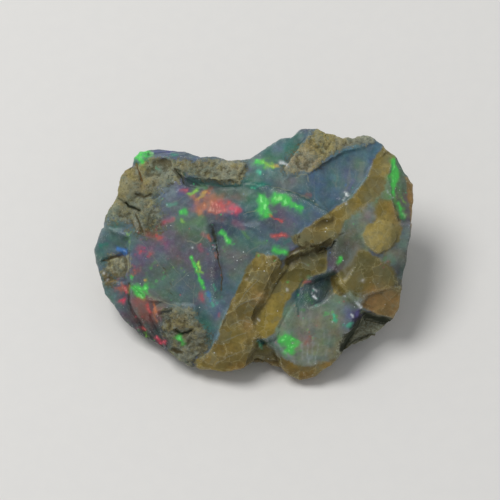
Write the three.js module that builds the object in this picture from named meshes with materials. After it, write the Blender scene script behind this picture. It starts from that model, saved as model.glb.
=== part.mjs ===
// A piece of rough white opal, as broken out of its nodule: one solid stone, resting on a flat break.
// Millimetres, +Z up. The origin is on the resting plane, under the middle of the stone's box.
//
// The stone's broad broken face leans back. It is described in a frame of its own: u runs to the right,
// v runs up the face, and w comes straight out of it. Everything that was split off that face at one
// level is a plate: an edge in u and v, a height in w, a lean, and a wall that falls away outside the edge.
// Later breaks into the plates are chips. The stone is the space under the plates, inside the outline,
// and inside the flat breaks of its back and underside. A finely divided icosahedron is drawn in onto it.
import * as THREE from "three";
import { ImprovedNoise } from "three/addons/math/ImprovedNoise.js";
import { mergeVertices } from "three/addons/utils/BufferGeometryUtils.js";

const divisions = 20; // cuts in each edge of the icosahedron that is drawn in onto the stone
const faceRise = THREE.MathUtils.degToRad(60); // how far the broad face's w axis rises above level
const faceHeight = 9.4; // height of the face frame's origin above the resting plane
const crestDepth = 0.8; // the flanks are widest this far below the broken face
const flankIn = 0.06; // how far a flank leans in, per mm above its widest line
const flankUnder = 0.4; // how far it leans in, per mm below that line
const wallSlope = 3; // fall of a plate's wall, per mm outside its edge
const faceDome = [0.008, 0.016]; // how far the whole face falls off, per mm squared of u and of v
const bedHeight = -2.2; // w of the lowest level of the broken face
const faceEase = 0.6; // eases the face's share of the field, because its walls are steep
const bend = 0.22; // how far the breaks wander from true planes
const hiddenLumps = [0.75, 0.3]; // depth of the wide and the narrow lumps on the flanks and the back
const wrap = { radii: [17, 13, 8], tilt: 0.35, middle: [0, 0.5, 6.4] }; // the ellipsoid that is drawn in
const evenPasses = 40; // rounds of evening out the mesh and drawing it in
const ridgePasses = 3; // rounds of moving vertices onto the ridges
const ridgeHold = 0.3; // how strongly a vertex stays where it is while it moves onto a ridge
const ridgeMove = 0.3; // the furthest that a vertex moves onto a ridge in one round
const restSnap = 0.06; // vertices this near to the resting plane lie on it

const right = new THREE.Vector3(1, 0, 0);
const up = new THREE.Vector3(0, Math.sin(faceRise), Math.cos(faceRise));
const out = new THREE.Vector3(0, -Math.cos(faceRise), Math.sin(faceRise));

// The stone's outline across the broken face, clockwise from the left.
const outline = [
  [-15.85, 1.4], [-15.6, 2.6], [-14.8, 3.7], [-14.5, 4.8], [-13.9, 5.5], [-13.6, 7.2], [-13.1, 8.4],
  [-12.2, 8.8], [-12.1, 9.8], [-11.5, 10.4], [-9.7, 10.65], [-7.2, 10.35], [-5.4, 9.75], [-4.2, 9.85],
  [-2.3, 9.3], [-0.5, 9.65], [1.2, 10.6], [2.6, 11.6], [3.8, 11.8], [4.8, 12.45], [6.4, 12.6],
  [7.0, 12.2], [8.8, 11.65], [10.9, 11.95], [12.0, 11.65], [12.9, 11.1], [13.2, 10.6], [14.3, 10.0],
  [15.0, 8.5], [16.1, 7.0], [16.05, 4.4], [15.6, 0.9], [14.9, -2.9], [14.6, -5.6], [14.1, -6.4],
  [13.2, -7.4], [10.4, -9.6], [8.6, -10.2], [7.9, -11.2], [6.2, -12.3], [4.8, -12.75], [3.5, -12.4],
  [2.8, -11.6], [0.4, -10.85], [-1.0, -11.4], [-3.0, -11.95], [-5.2, -11.3], [-7.1, -11.15],
  [-8.2, -10.2], [-10.3, -8.9], [-11.8, -8.1], [-13.4, -6.5], [-15.1, -4.2], [-15.8, -1.7], [-16.2, 0.4],
];

// Each plate is level with w = `height` at the point `at`, leans by `lean` (rise per mm along u and v), and
// falls off around that point by `dome` times the distance squared. `rough` is the depth of its lumps.
const plates = [
  { name: "main opal face", at: [-5.4, 1.4], height: 0.9, lean: [0.11, 0.04], rough: 0.05, edge: [
    [-12.6, -2.9], [-12.5, -0.8], [-12.6, 1.4], [-11.4, 3.9], [-10.2, 5.4], [-6.9, 6.8], [-3.9, 6.6],
    [-0.4, 7.1], [3.1, 6.4], [6.6, 4.5], [7.8, 3.8], [4.6, 2.3], [4.6, 0.4], [3.0, -0.7], [0.8, -3.6],
    [-1.4, -7.6], [-3.9, -9.3], [-4.9, -10.6], [-5.9, -7.6], [-5.9, -5.2], [-10.4, -4.6]] },
  { name: "middle step", at: [-10.9, -6.6], height: -0.7, lean: [0.2, 0.15], rough: 0.05, edge: [
    [-12.6, -3.0], [-10.2, -3.6], [-8.0, -5.0], [-8.0, -9.5], [-7.9, -10.6], [-9.4, -10.1], [-10.4, -8.7],
    [-11.4, -7.1], [-12.6, -5.2]] },
  { name: "rim step", at: [-13.2, -5.4], height: -1.5, lean: [0.15, 0.1], rough: 0.08, edge: [
    [-15.6, -3.0], [-12.2, -2.6], [-9.8, -6.0], [-9.0, -9.0], [-10.4, -9.6], [-12.0, -9.0], [-14.0, -7.3],
    [-16.0, -4.3]] },
  { name: "left opal", at: [-14.2, 1.6], height: -1.5, lean: [0.2, 0.05], rough: 0.08, edge: [
    [-16.8, 0.2], [-16.6, 2.2], [-15.8, 3.8], [-12.9, 3.6], [-12.0, 1.4], [-12.3, 0.1], [-15.4, -0.4]] },
  { name: "left rim", at: [-15.8, -1.2], height: -2.4, lean: [0.2, 0.05], rough: 0.08, edge: [
    [-16.8, 0.6], [-15.4, -0.4], [-15.3, -3.2], [-16.8, -3.2]] },
  { name: "left pocket crust", at: [-13.9, -1.4], height: -2.0, lean: [0.12, 0.0], rough: 0.2, edge: [
    [-15.6, -0.2], [-12.2, 0.3], [-12.2, -3.1], [-14.1, -3.2], [-15.8, -3.1]] },
  { name: "crust shoulder", at: [-11.4, 5.9], height: 0.0, lean: [0.2, 0.0], dome: 0.02, rough: 0.3, edge: [
    [-12.3, 9.3], [-10.4, 9.4], [-7.4, 8.9], [-6.8, 7.0], [-8.9, 5.9], [-10.4, 4.4], [-11.2, 2.4],
    [-12.6, 1.6], [-15.2, 3.0], [-15.2, 5.0], [-14.2, 5.7], [-14.1, 7.8], [-13.4, 8.9]] },
  { name: "crust knob", at: [-12.6, 7.0], height: 0.4, lean: [0, 0], dome: 0.2, rough: 0.15, edge: [
    [-13.9, 5.6], [-14.0, 8.0], [-12.8, 8.8], [-11.5, 8.0], [-11.4, 6.2], [-12.4, 5.4]] },
  { name: "lower crust knob", at: [-13.4, 4.2], height: -0.4, lean: [0, 0], dome: 0.2, rough: 0.2, edge: [
    [-15.0, 3.2], [-14.9, 4.9], [-13.6, 5.5], [-12.2, 4.6], [-12.4, 3.2]] },
  { name: "crust bar", at: [-5.4, 8.4], height: 1.4, lean: [0.05, -0.08], dome: 0.008, rough: 0.22, edge: [
    [-10.8, 9.7], [-9.4, 10.0], [-6.4, 9.9], [-4.9, 10.2], [-3.2, 9.9], [-1.6, 9.6], [-0.7, 8.9],
    [-1.4, 8.1], [-2.0, 7.0], [-3.9, 6.7], [-5.4, 7.1], [-6.8, 7.6], [-8.2, 8.6], [-10.4, 9.1]] },
  { name: "top edge opal", at: [-9.4, 10.2], height: -0.3, lean: [0, 0], rough: 0.1, edge: [
    [-12.3, 9.2], [-12.3, 10.8], [-8.9, 11.1], [-5.1, 10.1], [-5.4, 9.2], [-10.8, 9.2]] },
  { name: "top left corner", at: [-11.4, 9.8], height: 0.5, lean: [0, 0], dome: 0.3, rough: 0.05, edge: [
    [-12.3, 9.2], [-12.3, 10.6], [-10.8, 10.7], [-10.6, 9.4], [-11.4, 9.0]] },
  { name: "upper opal", at: [2.0, 9.0], height: 1.3, lean: [0.04, -0.13], rough: 0.08, edge: [
    [-1.4, 8.1], [-0.8, 9.4], [0.8, 10.8], [2.6, 12.0], [4.6, 12.9], [6.8, 12.9], [5.8, 11.4], [4.6, 10.4],
    [3.6, 8.9], [2.9, 7.6], [3.2, 6.3], [-0.4, 7.0], [-2.0, 6.9]] },
  { name: "upper crust", at: [7.1, 10.2], height: 1.7, lean: [0.0, -0.2], rough: 0.2, edge: [
    [5.8, 12.6], [6.8, 12.9], [9.1, 12.1], [11.1, 12.4], [12.8, 11.7], [11.2, 10.7], [9.1, 10.3],
    [7.1, 9.1], [4.9, 7.7], [3.4, 7.7], [3.2, 8.6], [4.3, 10.4]] },
  { name: "opal spur", at: [4.6, 6.6], height: 1.9, lean: [0.02, 0.03], rough: 0.06, edge: [
    [2.9, 7.6], [4.9, 7.6], [5.8, 5.9], [7.7, 4.1], [6.4, 4.7], [4.6, 5.6], [3.0, 6.4]] },
  { name: "blue opal face", at: [9.1, 7.4], height: 1.2, lean: [-0.05, -0.03], dome: -0.02, rough: 0.03,
    edge: [[4.9, 7.7], [7.1, 9.2], [9.1, 10.4], [11.2, 10.9], [13.1, 11.3], [13.3, 10.3], [11.9, 8.8],
    [11.3, 7.5], [9.9, 5.9], [7.7, 4.0], [5.8, 5.8]] },
  { name: "upper amber band", at: [8.6, 3.9], height: 2.3, lean: [-0.12, -0.1], rough: 0.15, edge: [
    [13.0, 10.9], [14.8, 10.4], [14.8, 9.2], [13.4, 8.2], [12.7, 6.4], [11.8, 5.1], [9.9, 3.8], [9.2, 2.2],
    [7.9, 1.8], [6.8, 1.1], [4.9, 0.4], [4.2, 1.4], [4.6, 2.4], [7.6, 4.1], [9.8, 5.9], [11.3, 7.7],
    [11.9, 9.1]] },
  { name: "lower amber band", at: [-0.4, -4.6], height: 2.0, lean: [0.12, 0.09], rough: 0.15, edge: [
    [1.4, 0.3], [2.6, -0.2], [3.0, -0.8], [1.8, -2.7], [0.8, -4.6], [0.1, -6.4], [-0.4, -8.1], [-0.6, -9.6],
    [-1.0, -12.0], [-2.9, -12.5], [-5.8, -11.7], [-5.8, -10.8], [-4.2, -9.4], [-3.5, -7.6], [-2.4, -4.9],
    [-1.0, -2.1], [0.3, 0.0]] },
  { name: "trough floor", at: [5.1, -1.1], height: 0.1, lean: [0.05, 0.03], rough: 0.12, edge: [
    [2.4, -0.2], [4.6, 1.0], [6.8, 1.8], [8.2, 2.8], [8.8, 1.4], [8.0, -0.8], [7.8, -2.4], [5.6, -3.4],
    [4.2, -5.0], [2.9, -8.1], [0.8, -8.4], [-0.4, -8.1], [-0.2, -6.4], [0.5, -4.6], [1.5, -2.7]] },
  { name: "clear opal lump", at: [6.1, -7.6], height: 1.8, lean: [0.03, 0.04], dome: 0.035, rough: 0.08,
    edge: [[4.2, -4.4], [5.2, -3.0], [7.6, -2.3], [8.8, -3.1], [10.0, -4.6], [10.7, -5.5], [10.5, -6.4],
    [10.1, -7.3], [9.1, -8.0], [8.5, -9.1], [8.4, -10.3], [7.9, -11.6], [6.2, -12.7], [4.7, -13.2],
    [3.2, -12.8], [2.8, -11.6], [3.1, -10.6], [1.9, -9.0], [2.6, -7.8], [3.5, -5.8]] },
  { name: "right block", at: [12.1, -0.1], height: 1.5, lean: [-0.13, 0.02], rough: 0.15, edge: [
    [8.0, 1.6], [9.2, 2.2], [10.0, 3.9], [11.9, 5.1], [12.8, 6.6], [13.6, 8.4], [14.5, 10.3], [15.8, 8.6],
    [16.8, 7.0], [16.7, 4.4], [16.2, 0.9], [15.5, -2.9], [15.2, -5.9], [14.3, -6.45], [10.7, -5.7],
    [9.8, -4.6], [8.6, -3.1], [7.7, -2.2], [7.8, -0.6]] },
  { name: "amber knob", at: [12.3, 1.7], height: 2.0, lean: [-0.1, 0.05], dome: 0.08, rough: 0.05, edge: [
    [10.6, 2.4], [11.6, 3.2], [13.4, 3.0], [14.1, 1.6], [13.0, 0.5], [11.2, 0.6]] },
  { name: "matrix foot", at: [11.4, -7.9], height: -1.5, lean: [0.0, 0.05], rough: 0.15, edge: [
    [8.0, -7.4], [10.2, -4.8], [14.9, -5.8], [13.9, -7.8], [12.1, -9.1], [10.2, -10.6], [8.0, -11.0]] },
  { name: "bay floor", at: [1.2, -10.3], height: -0.8, lean: [0.0, 0.1], rough: 0.1, edge: [
    [-0.8, -8.2], [0.6, -7.8], [2.4, -9.0], [3.8, -10.8], [3.4, -12.4], [1.1, -11.9], [-1.1, -12.0]] },
  { name: "lower crust", at: [-6.9, -8.1], height: 1.0, lean: [0.08, 0.1], dome: 0.03, rough: 0.3, edge: [
    [-10.1, -5.6], [-9.1, -4.9], [-5.9, -5.1], [-5.3, -6.8], [-4.3, -8.1], [-4.1, -9.6], [-4.9, -11.2],
    [-6.4, -11.7], [-7.8, -11.6], [-8.7, -10.2], [-9.3, -8.1]] },
];

// Breaks into the plates: nothing inside `edge` stands above the chip's own floor.
const chips = [
  { name: "dish under the bar", at: [-3.8, 4.9], height: 0.5, lean: [0.06, -0.03], dome: -0.03, edge: [
    [-8.6, 5.6], [-6.6, 6.7], [-3.9, 6.5], [-1.0, 6.9], [0.6, 5.8], [0.2, 3.4], [-3.6, 2.2], [-7.6, 3.0]] },
  { name: "facet right of the crack", at: [-1.4, -0.4], height: 0.9, lean: [0.12, 0.05], edge: [
    [-4.1, 2.7], [-1.6, 3.0], [1.4, 1.4], [0.4, -0.2], [-1.2, -2.4], [-2.6, -5.0], [-3.3, -4.2],
    [-3.3, -0.4]] },
  { name: "hollow in the clear opal", at: [6.4, -3.6], height: -0.3, lean: [0.1, 0.2], edge: [
    [5.1, -3.6], [5.9, -2.7], [7.4, -2.5], [7.8, -3.3], [6.8, -4.6], [5.3, -4.5]] },
  { name: "recess left of the amber knob", at: [9.0, 0.6], height: 0.6, lean: [-0.05, 0.2], edge: [
    [8.1, 1.4], [9.0, 1.9], [10.0, 1.2], [10.0, -0.4], [8.6, -2.0], [7.9, -0.6]] },
  { name: "right corner break", at: [15.0, 6.4], height: 0.6, lean: [-0.4, 0.05], edge: [
    [13.6, 8.4], [14.4, 10.4], [17.2, 8.6], [17.2, 3.0], [14.6, 3.4], [13.9, 5.2]] },
  { name: "pink end break", at: [12.8, -4.6], height: 0.95, lean: [-0.03, 0.16], edge: [
    [10.6, -5.2], [11.4, -4.0], [13.2, -3.6], [15.6, -3.2], [15.4, -6.6], [14.2, -6.8], [10.5, -6.0]] },
  { name: "hole between the lobes", at: [0.7, -8.8], height: -2.2, lean: [0, 0], edge: [
    [0.1, -8.3], [0.8, -8.2], [1.5, -9.2], [0.6, -9.6]] },
];

// Flat breaks of the hidden sides: the outward normal, and a point that the break passes through.
const breaks = [
  { normal: [-0.62, -0.1, -0.78], through: [-13.0, -3.0, 1.2] },
  { normal: [0.58, 0.1, -0.81], through: [12.8, 0, 1.6] },
  { normal: [0.05, 0.66, -0.75], through: [0, 9.2, 2.4] },
  { normal: [-0.55, 0.75, -0.36], through: [-12.2, 9.9, 11.7] },
  { normal: [0.62, 0.75, -0.25], through: [15.2, 9.2, 11.6] },
  { normal: [0.08, -0.72, -0.69], through: [0, -10.2, 0.8] },
  { normal: [-0.2, 0.9, -0.38], through: [-9.7, 11.0, 11.9] },
  { normal: [0.12, 0.93, -0.34], through: [10.0, 11.7, 13.3] },
  { normal: [-0.34, -0.05, -0.94], through: [-7.2, 0, 0] },
  { normal: [0.3, -0.12, -0.95], through: [7.6, 0, 0] },
  { normal: [0.05, 0.3, -0.95], through: [0, 4.6, 0] },
  { normal: [-0.1, -0.3, -0.95], through: [0, -6.2, 0] },
].map(({ normal, through }) => {
  const n = new THREE.Vector3(...normal).normalize();
  return { normal: n, reach: n.dot(new THREE.Vector3(...through)) };
});

// Distance from a point to a closed edge, negative inside.
function distanceTo(edge, u, v) {
  let nearest = Infinity;
  let inside = false;
  for (let i = 0, j = edge.length - 1; i < edge.length; j = i++) {
    const [ax, ay] = edge[j];
    const [bx, by] = edge[i];
    const ex = bx - ax;
    const ey = by - ay;
    const t = THREE.MathUtils.clamp(((u - ax) * ex + (v - ay) * ey) / (ex * ex + ey * ey), 0, 1);
    nearest = Math.min(nearest, Math.hypot(u - ax - t * ex, v - ay - t * ey));
    if (ay > v !== by > v && u < ax + ((v - ay) / ey) * ex) inside = !inside;
  }
  return inside ? -nearest : nearest;
}

for (const piece of [...plates, ...chips]) {
  piece.box = new THREE.Box2().setFromPoints(piece.edge.map(([u, v]) => new THREE.Vector2(u, v)));
}

function levelOf({ at, height, lean, dome = 0 }, { x: u, y: v }) {
  const du = u - at[0];
  const dv = v - at[1];
  return height + lean[0] * du + lean[1] * dv - dome * (du * du + dv * dv);
}

// How far a wall has fallen at a place outside a plate's edge. A fall past `enough` needs no closer look.
function wallFall({ box, edge }, place, enough) {
  const atLeast = wallSlope * box.distanceToPoint(place);
  return atLeast > enough ? atLeast : wallSlope * Math.max(0, distanceTo(edge, place.x, place.y));
}

const noise = new ImprovedNoise();

// Fractal noise of about -1 to 1, whose largest lumps are `size` mm apart. `seed` picks another pattern.
function lumps(x, y, z, size, seed) {
  const coarse = noise.noise(x / size + seed, y / size, z / size);
  const fine = noise.noise((2.1 * x) / size, (2.1 * y) / size + seed, (2.1 * z) / size);
  return coarse + 0.5 * fine;
}

// The w of the broken face at u, v: the highest plate there, cut down by the chips.
function faceAt(u, v) {
  const place = new THREE.Vector2(u, v);
  const bump = lumps(u, v, 0, 2.2, 7);
  let level = bedHeight;
  for (const plate of plates) {
    const top = levelOf(plate, place) + plate.rough * bump;
    level = Math.max(level, top - wallFall(plate, place, top - level));
  }
  for (const chip of chips) {
    const floor = levelOf(chip, place);
    level = Math.min(level, floor + wallFall(chip, place, level - floor));
  }
  return level - faceDome[0] * u * u - faceDome[1] * v * v;
}

// Roughly the distance from a point to the stone's surface, negative inside the stone.
function field({ x, y, z }) {
  const wander = [11, 23, 37].map((seed) => bend * lumps(x, y, z, 3.1, seed));
  const p = new THREE.Vector3(x, y, z).add(new THREE.Vector3(...wander));
  const back = Math.max(...breaks.map(({ normal, reach }) => normal.dot(p) - reach));
  p.z -= faceHeight;
  const [u, v, w] = [p.dot(right), p.dot(up), p.dot(out)];
  const face = faceAt(u, v);
  const above = w - (face - crestDepth);
  const lean = flankIn * Math.max(0, above) + flankUnder * Math.max(0, -above);
  const flank = distanceTo(outline, u, v) + lean;
  const crust = hiddenLumps[0] * lumps(x, y, z, 5.5, 51) + hiddenLumps[1] * lumps(x, y, z, 2.2, 67);
  const hidden = THREE.MathUtils.smoothstep(-above, 0, 2.5);
  return Math.max((w - face) * faceEase, Math.max(flank, back) - hidden * crust, -z);
}

// Moves a point onto the stone's surface along the field's slope, and returns the surface's normal there.
function drawOn(point, steps) {
  const reach = 0.02;
  const furthest = 1;
  const slope = new THREE.Vector3();
  for (let n = 0; n < steps; n++) {
    const here = field(point);
    for (const axis of ["x", "y", "z"]) {
      const beside = point.clone();
      beside[axis] += reach;
      slope[axis] = (field(beside) - here) / reach;
    }
    point.addScaledVector(slope, -THREE.MathUtils.clamp(here / slope.lengthSq(), -furthest, furthest));
  }
  return slope.normalize();
}

// The mesh starts as an icosahedron's vertices on an ellipsoid around the stone.
const sphere = new THREE.IcosahedronGeometry(1, divisions);
sphere.deleteAttribute("normal");
sphere.deleteAttribute("uv");
const geometry = mergeVertices(sphere);
geometry.scale(...wrap.radii).rotateX(wrap.tilt).translate(...wrap.middle);

const position = geometry.getAttribute("position");
const points = [];
for (let i = 0; i < position.count; i++) points.push(new THREE.Vector3().fromBufferAttribute(position, i));
const facets = [];
const around = points.map(() => []); // the facets around each vertex
for (let i = 0; i < geometry.index.count; i += 3) {
  const corners = [0, 1, 2].map((k) => geometry.index.getX(i + k));
  const facet = new THREE.Triangle();
  [facet.a, facet.b, facet.c] = corners.map((corner) => points[corner]);
  facets.push(facet);
  for (const corner of corners) around[corner].push(facet);
}

// Moves each vertex towards the middle of the area around it, which evens out the sizes of the facets.
function evenOut(share) {
  const middles = new Map(facets.map((facet) => [facet, facet.getMidpoint(new THREE.Vector3())]));
  const areas = new Map(facets.map((facet) => [facet, facet.getArea()]));
  points.forEach((point, i) => {
    const middle = new THREE.Vector3();
    let area = 0;
    for (const facet of around[i]) {
      middle.addScaledVector(middles.get(facet), areas.get(facet));
      area += areas.get(facet);
    }
    point.lerp(middle.divideScalar(area), share);
  });
}

// Moves each vertex to where the surface's planes at the facets around it meet, so that ridges stay sharp.
function findRidges() {
  const planes = new Map(facets.map((facet) => {
    const at = facet.getMidpoint(new THREE.Vector3());
    const normal = drawOn(at, 2);
    return [facet, { at, normal }];
  }));
  points.forEach((point, i) => {
    const sums = [ridgeHold, 0, 0, 0, ridgeHold, 0, 0, 0, ridgeHold];
    const pull = new THREE.Vector3();
    for (const facet of around[i]) {
      const { at, normal } = planes.get(facet);
      const n = normal.toArray();
      for (let r = 0; r < 3; r++) for (let c = 0; c < 3; c++) sums[3 * r + c] += n[r] * n[c];
      pull.addScaledVector(normal, normal.dot(at.clone().sub(point)));
    }
    pull.applyMatrix3(new THREE.Matrix3().set(...sums).invert());
    point.add(pull.clampLength(0, ridgeMove));
  });
}

for (let pass = 0; pass < evenPasses; pass++) {
  evenOut(0.9);
  for (const point of points) drawOn(point, 1);
}
for (let pass = 0; pass < ridgePasses; pass++) {
  evenOut(0.3);
  findRidges();
}
for (const [i, { x, y, z }] of points.entries()) {
  position.setXYZ(i, x, y, Math.abs(z) < restSnap ? 0 : z);
}

geometry.computeBoundingBox();
const middle = geometry.boundingBox.getCenter(new THREE.Vector3());
geometry.translate(-middle.x, -middle.y, 0);
geometry.computeVertexNormals();

const opal = new THREE.Mesh(
  geometry,
  new THREE.MeshStandardMaterial({ color: 0x6f767c, roughness: 0.35, metalness: 0 }),
);
opal.name = "opal";

const stone = new THREE.Group();
stone.add(opal);

export default stone;
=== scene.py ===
import math
from itertools import product

import bpy
import numpy as np
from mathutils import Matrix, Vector, noise


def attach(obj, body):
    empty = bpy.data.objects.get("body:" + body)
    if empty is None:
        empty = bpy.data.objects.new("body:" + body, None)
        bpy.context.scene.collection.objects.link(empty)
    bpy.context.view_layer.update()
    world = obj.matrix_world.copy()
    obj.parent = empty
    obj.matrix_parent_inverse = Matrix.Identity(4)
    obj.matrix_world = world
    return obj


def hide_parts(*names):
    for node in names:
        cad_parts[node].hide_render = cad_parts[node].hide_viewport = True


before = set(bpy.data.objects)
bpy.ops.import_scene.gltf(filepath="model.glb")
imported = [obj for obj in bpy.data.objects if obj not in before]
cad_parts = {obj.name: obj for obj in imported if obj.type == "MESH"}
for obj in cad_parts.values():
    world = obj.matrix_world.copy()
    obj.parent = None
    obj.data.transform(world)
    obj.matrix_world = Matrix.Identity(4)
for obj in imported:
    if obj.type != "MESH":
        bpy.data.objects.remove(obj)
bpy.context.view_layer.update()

mm = 0.001

# The stone is worked on in mm. Its broad broken face leans back and has axes of its own: u to the right,
# v up the face and w straight out of it.
rise = math.radians(60)
faceOrigin = np.array([0.078, -1.248, 9.4])
faceAxes = np.array([[1, 0, 0], [0, math.sin(rise), math.cos(rise)], [0, -math.cos(rise), math.sin(rise)]])


def toFace(places):
    return (places - faceOrigin) @ faceAxes.T


def fromFace(places):
    return places @ faceAxes + faceOrigin


# The camera looks straight down the broad face, from far off and through a long lens
cameraView = {"lens": 180, "sensor": 36, "distance": 250, "aim": (-0.4, 0.4), "nearest": 0.01}


def addCamera():
    place = fromFace(np.array([*cameraView["aim"], cameraView["distance"]])) * mm
    bpy.ops.object.camera_add(location=place, rotation=(math.radians(90) - rise, 0, 0))
    camera = bpy.context.object
    camera.data.lens = cameraView["lens"]
    camera.data.sensor_width = cameraView["sensor"]
    camera.data.clip_start = cameraView["nearest"]
    bpy.context.scene.camera = camera


addCamera()
print("camera placed")

gem = {  # what may be changed on the stone, sizes in mm
    "voxel": 0.162,  # squares of the fine mesh
    "rounds": 5,  # rounds of drawing the mesh in onto the face
    "step": 0.5,  # limit on the move in one round
    "probe": 0.06,  # how far beside a vertex the slope is read
    "drawn": (-2, -0.8),  # heights over the widest line where the drawing in begins, and is full
    "ease": 0.6,  # weight of the height over the face, against the distance outside the outline
    "bed": -2.2,  # lowest level of the face
    "dome": (0.008, 0.016),  # fall of the whole face along u and along v
    "crestDepth": 0.8,  # the flanks are widest this far below the face
    "flankIn": 0.06,  # lean of a flank above its widest line
    "flankUnder": 0.4,  # lean of a flank below it
    "wallSlope": 4,  # fall of a plate's wall, per mm outside its edge
    "wallReach": 1.6,  # how far plates and chips reach past their edges
    "chipFlare": (0.8, 0.3),  # how a chip's wall steepens, and how far out that begins
    "seamSide": 0.14,  # how far a groove reaches past its seam's width
    "plateLumps": 2.2,  # size of the lumps on plates
    "longWander": (0.17, 1.6),  # how far the edges stray, and in waves of what size
    "shortWander": (0.06, 0.5),
    "outlineWander": 0.8,  # the outline's share of it
    "bay": ((0.6, -9.2), (1.6, 1.8), -0.5, 0.25),  # hollow made shallow: place, reach, floor, share left
    "bayDepth": (-4.6, -3.9),  # what lies deeper than this stays
    "spikes": (0.12, 0.24),  # distance from its neighbours' mean that draws a vertex in, partly and wholly
    "hidden": (1.2, 2.6),  # depth below the face where its paint begins to end, and has ended
    "hiddenWander": (1.6, 4.5),  # how far crust and amber stray there, and in waves of what size
    "hiddenCrust": (0.1, 1.6, 3.6),  # share, contrast and size of the crust on the hidden sides
    "hiddenFires": 130,
    "fireLength": (0.3, 1.4),  # of the fires on the hidden sides
    "fireWidth": (0.1, 0.34),
    "fireStrength": (0.35, 0.95),
    "seed": 5,
    "crustLumps": (0.2, 1.8),  # relief: depth and size
    "crustGrain": (0.11, 0.5),
    "crustPits": (0.08, 0.6),
    "amberScoops": (0.4, 1.9),
    "amberChips": (0.1, 0.9),
    "opalScoops": (0.2, 4.2),
    "opalChips": (0.05, 1.9),
    "scoopBend": (0.18, 0.9),
    "fineGrain": (0.01, 0.3),
    "toneDrift": (0.35, 1.2),  # how far the patches of tone stray, and in waves of what size
    "ripple": 0.55,  # size of the waves in which lines and fires stray
    "lineDrift": 0.1,
    "fireDrift": 0.18,
    "hiddenFireDrift": 0.15,
    "softening": 0.82,  # share of the distance to their edges that crust and amber lose where these are soft
    "patchSpread": 1.1,  # a patch of tone fades out over this many times its reach
    "grainSize": (0.05, 0.11),  # of the grainy fire
    "grainStrength": (0.35, 0.85),
    "opalTint": (1.05, 1.07, 1.15, 1),
    "amberTint": (1.08, 0.98, 0.76, 1),
    "crustTint": (1.14, 1.13, 1.16, 1),
    "gritTone": (0.36, 0.36, 0.28, 1),
    # tones of painted glints: scattered ones, and ones along ridges
    "paintedGlintTone": (0.8, 0.85, 0.82, 1),
    "paintedRidgeGlintTone": (0.75, 0.78, 0.74, 1),
    "coreTone": (1, 1, 0.85, 1),
    "opalRoughness": 0.38,
    "amberRoughness": 0.34,
    "crustRoughness": 0.8,
    "grainBump": 0.05,
    "glow": 0.4,  # light that passes through the stone, and how deep it goes
    "glowDepth": 0.5,
    "glowReach": (1, 0.85, 0.65),
    "refraction": 1.45,
    "shine": 0.25,
}

outline = [
    (-15.85, 1.4), (-15.6, 2.6), (-15, 3.7), (-14.6, 4.8), (-13.9, 5.5), (-13.6, 7.2), (-13.1, 8.4),
    (-12.2, 8.8), (-12.1, 9.8), (-11.5, 10.4), (-9.7, 10.65), (-7.2, 10.35), (-5.4, 9.75), (-4.2, 9.85),
    (-2.3, 9.3), (-0.5, 9.65), (1.2, 10.6), (2.6, 11.6), (3.8, 11.8), (4.8, 12.45), (6.4, 12.6), (7, 12.2),
    (8.8, 11.65), (10.9, 11.95), (12, 11.65), (12.9, 11.1), (13.2, 10.6), (14.3, 10), (15, 8.5), (16.1, 7),
    (16.05, 4.4), (15.6, 0.9), (14.9, -2.9), (14.6, -5.6), (14.1, -6.4), (13.2, -7.4), (10.4, -9.6),
    (8.6, -10.2), (7.9, -11.2), (6.2, -12.3), (4.8, -12.75), (3.5, -12.4), (2.8, -11.6), (0.4, -10.85),
    (-1, -11.4), (-3, -11.95), (-5.2, -11.6), (-6.6, -11.3), (-8, -10.3), (-10.3, -8.9), (-11.8, -8.1),
    (-13.4, -6.5), (-15.1, -4.2), (-15.8, -1.7), (-16.2, 0.4),
]

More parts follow.
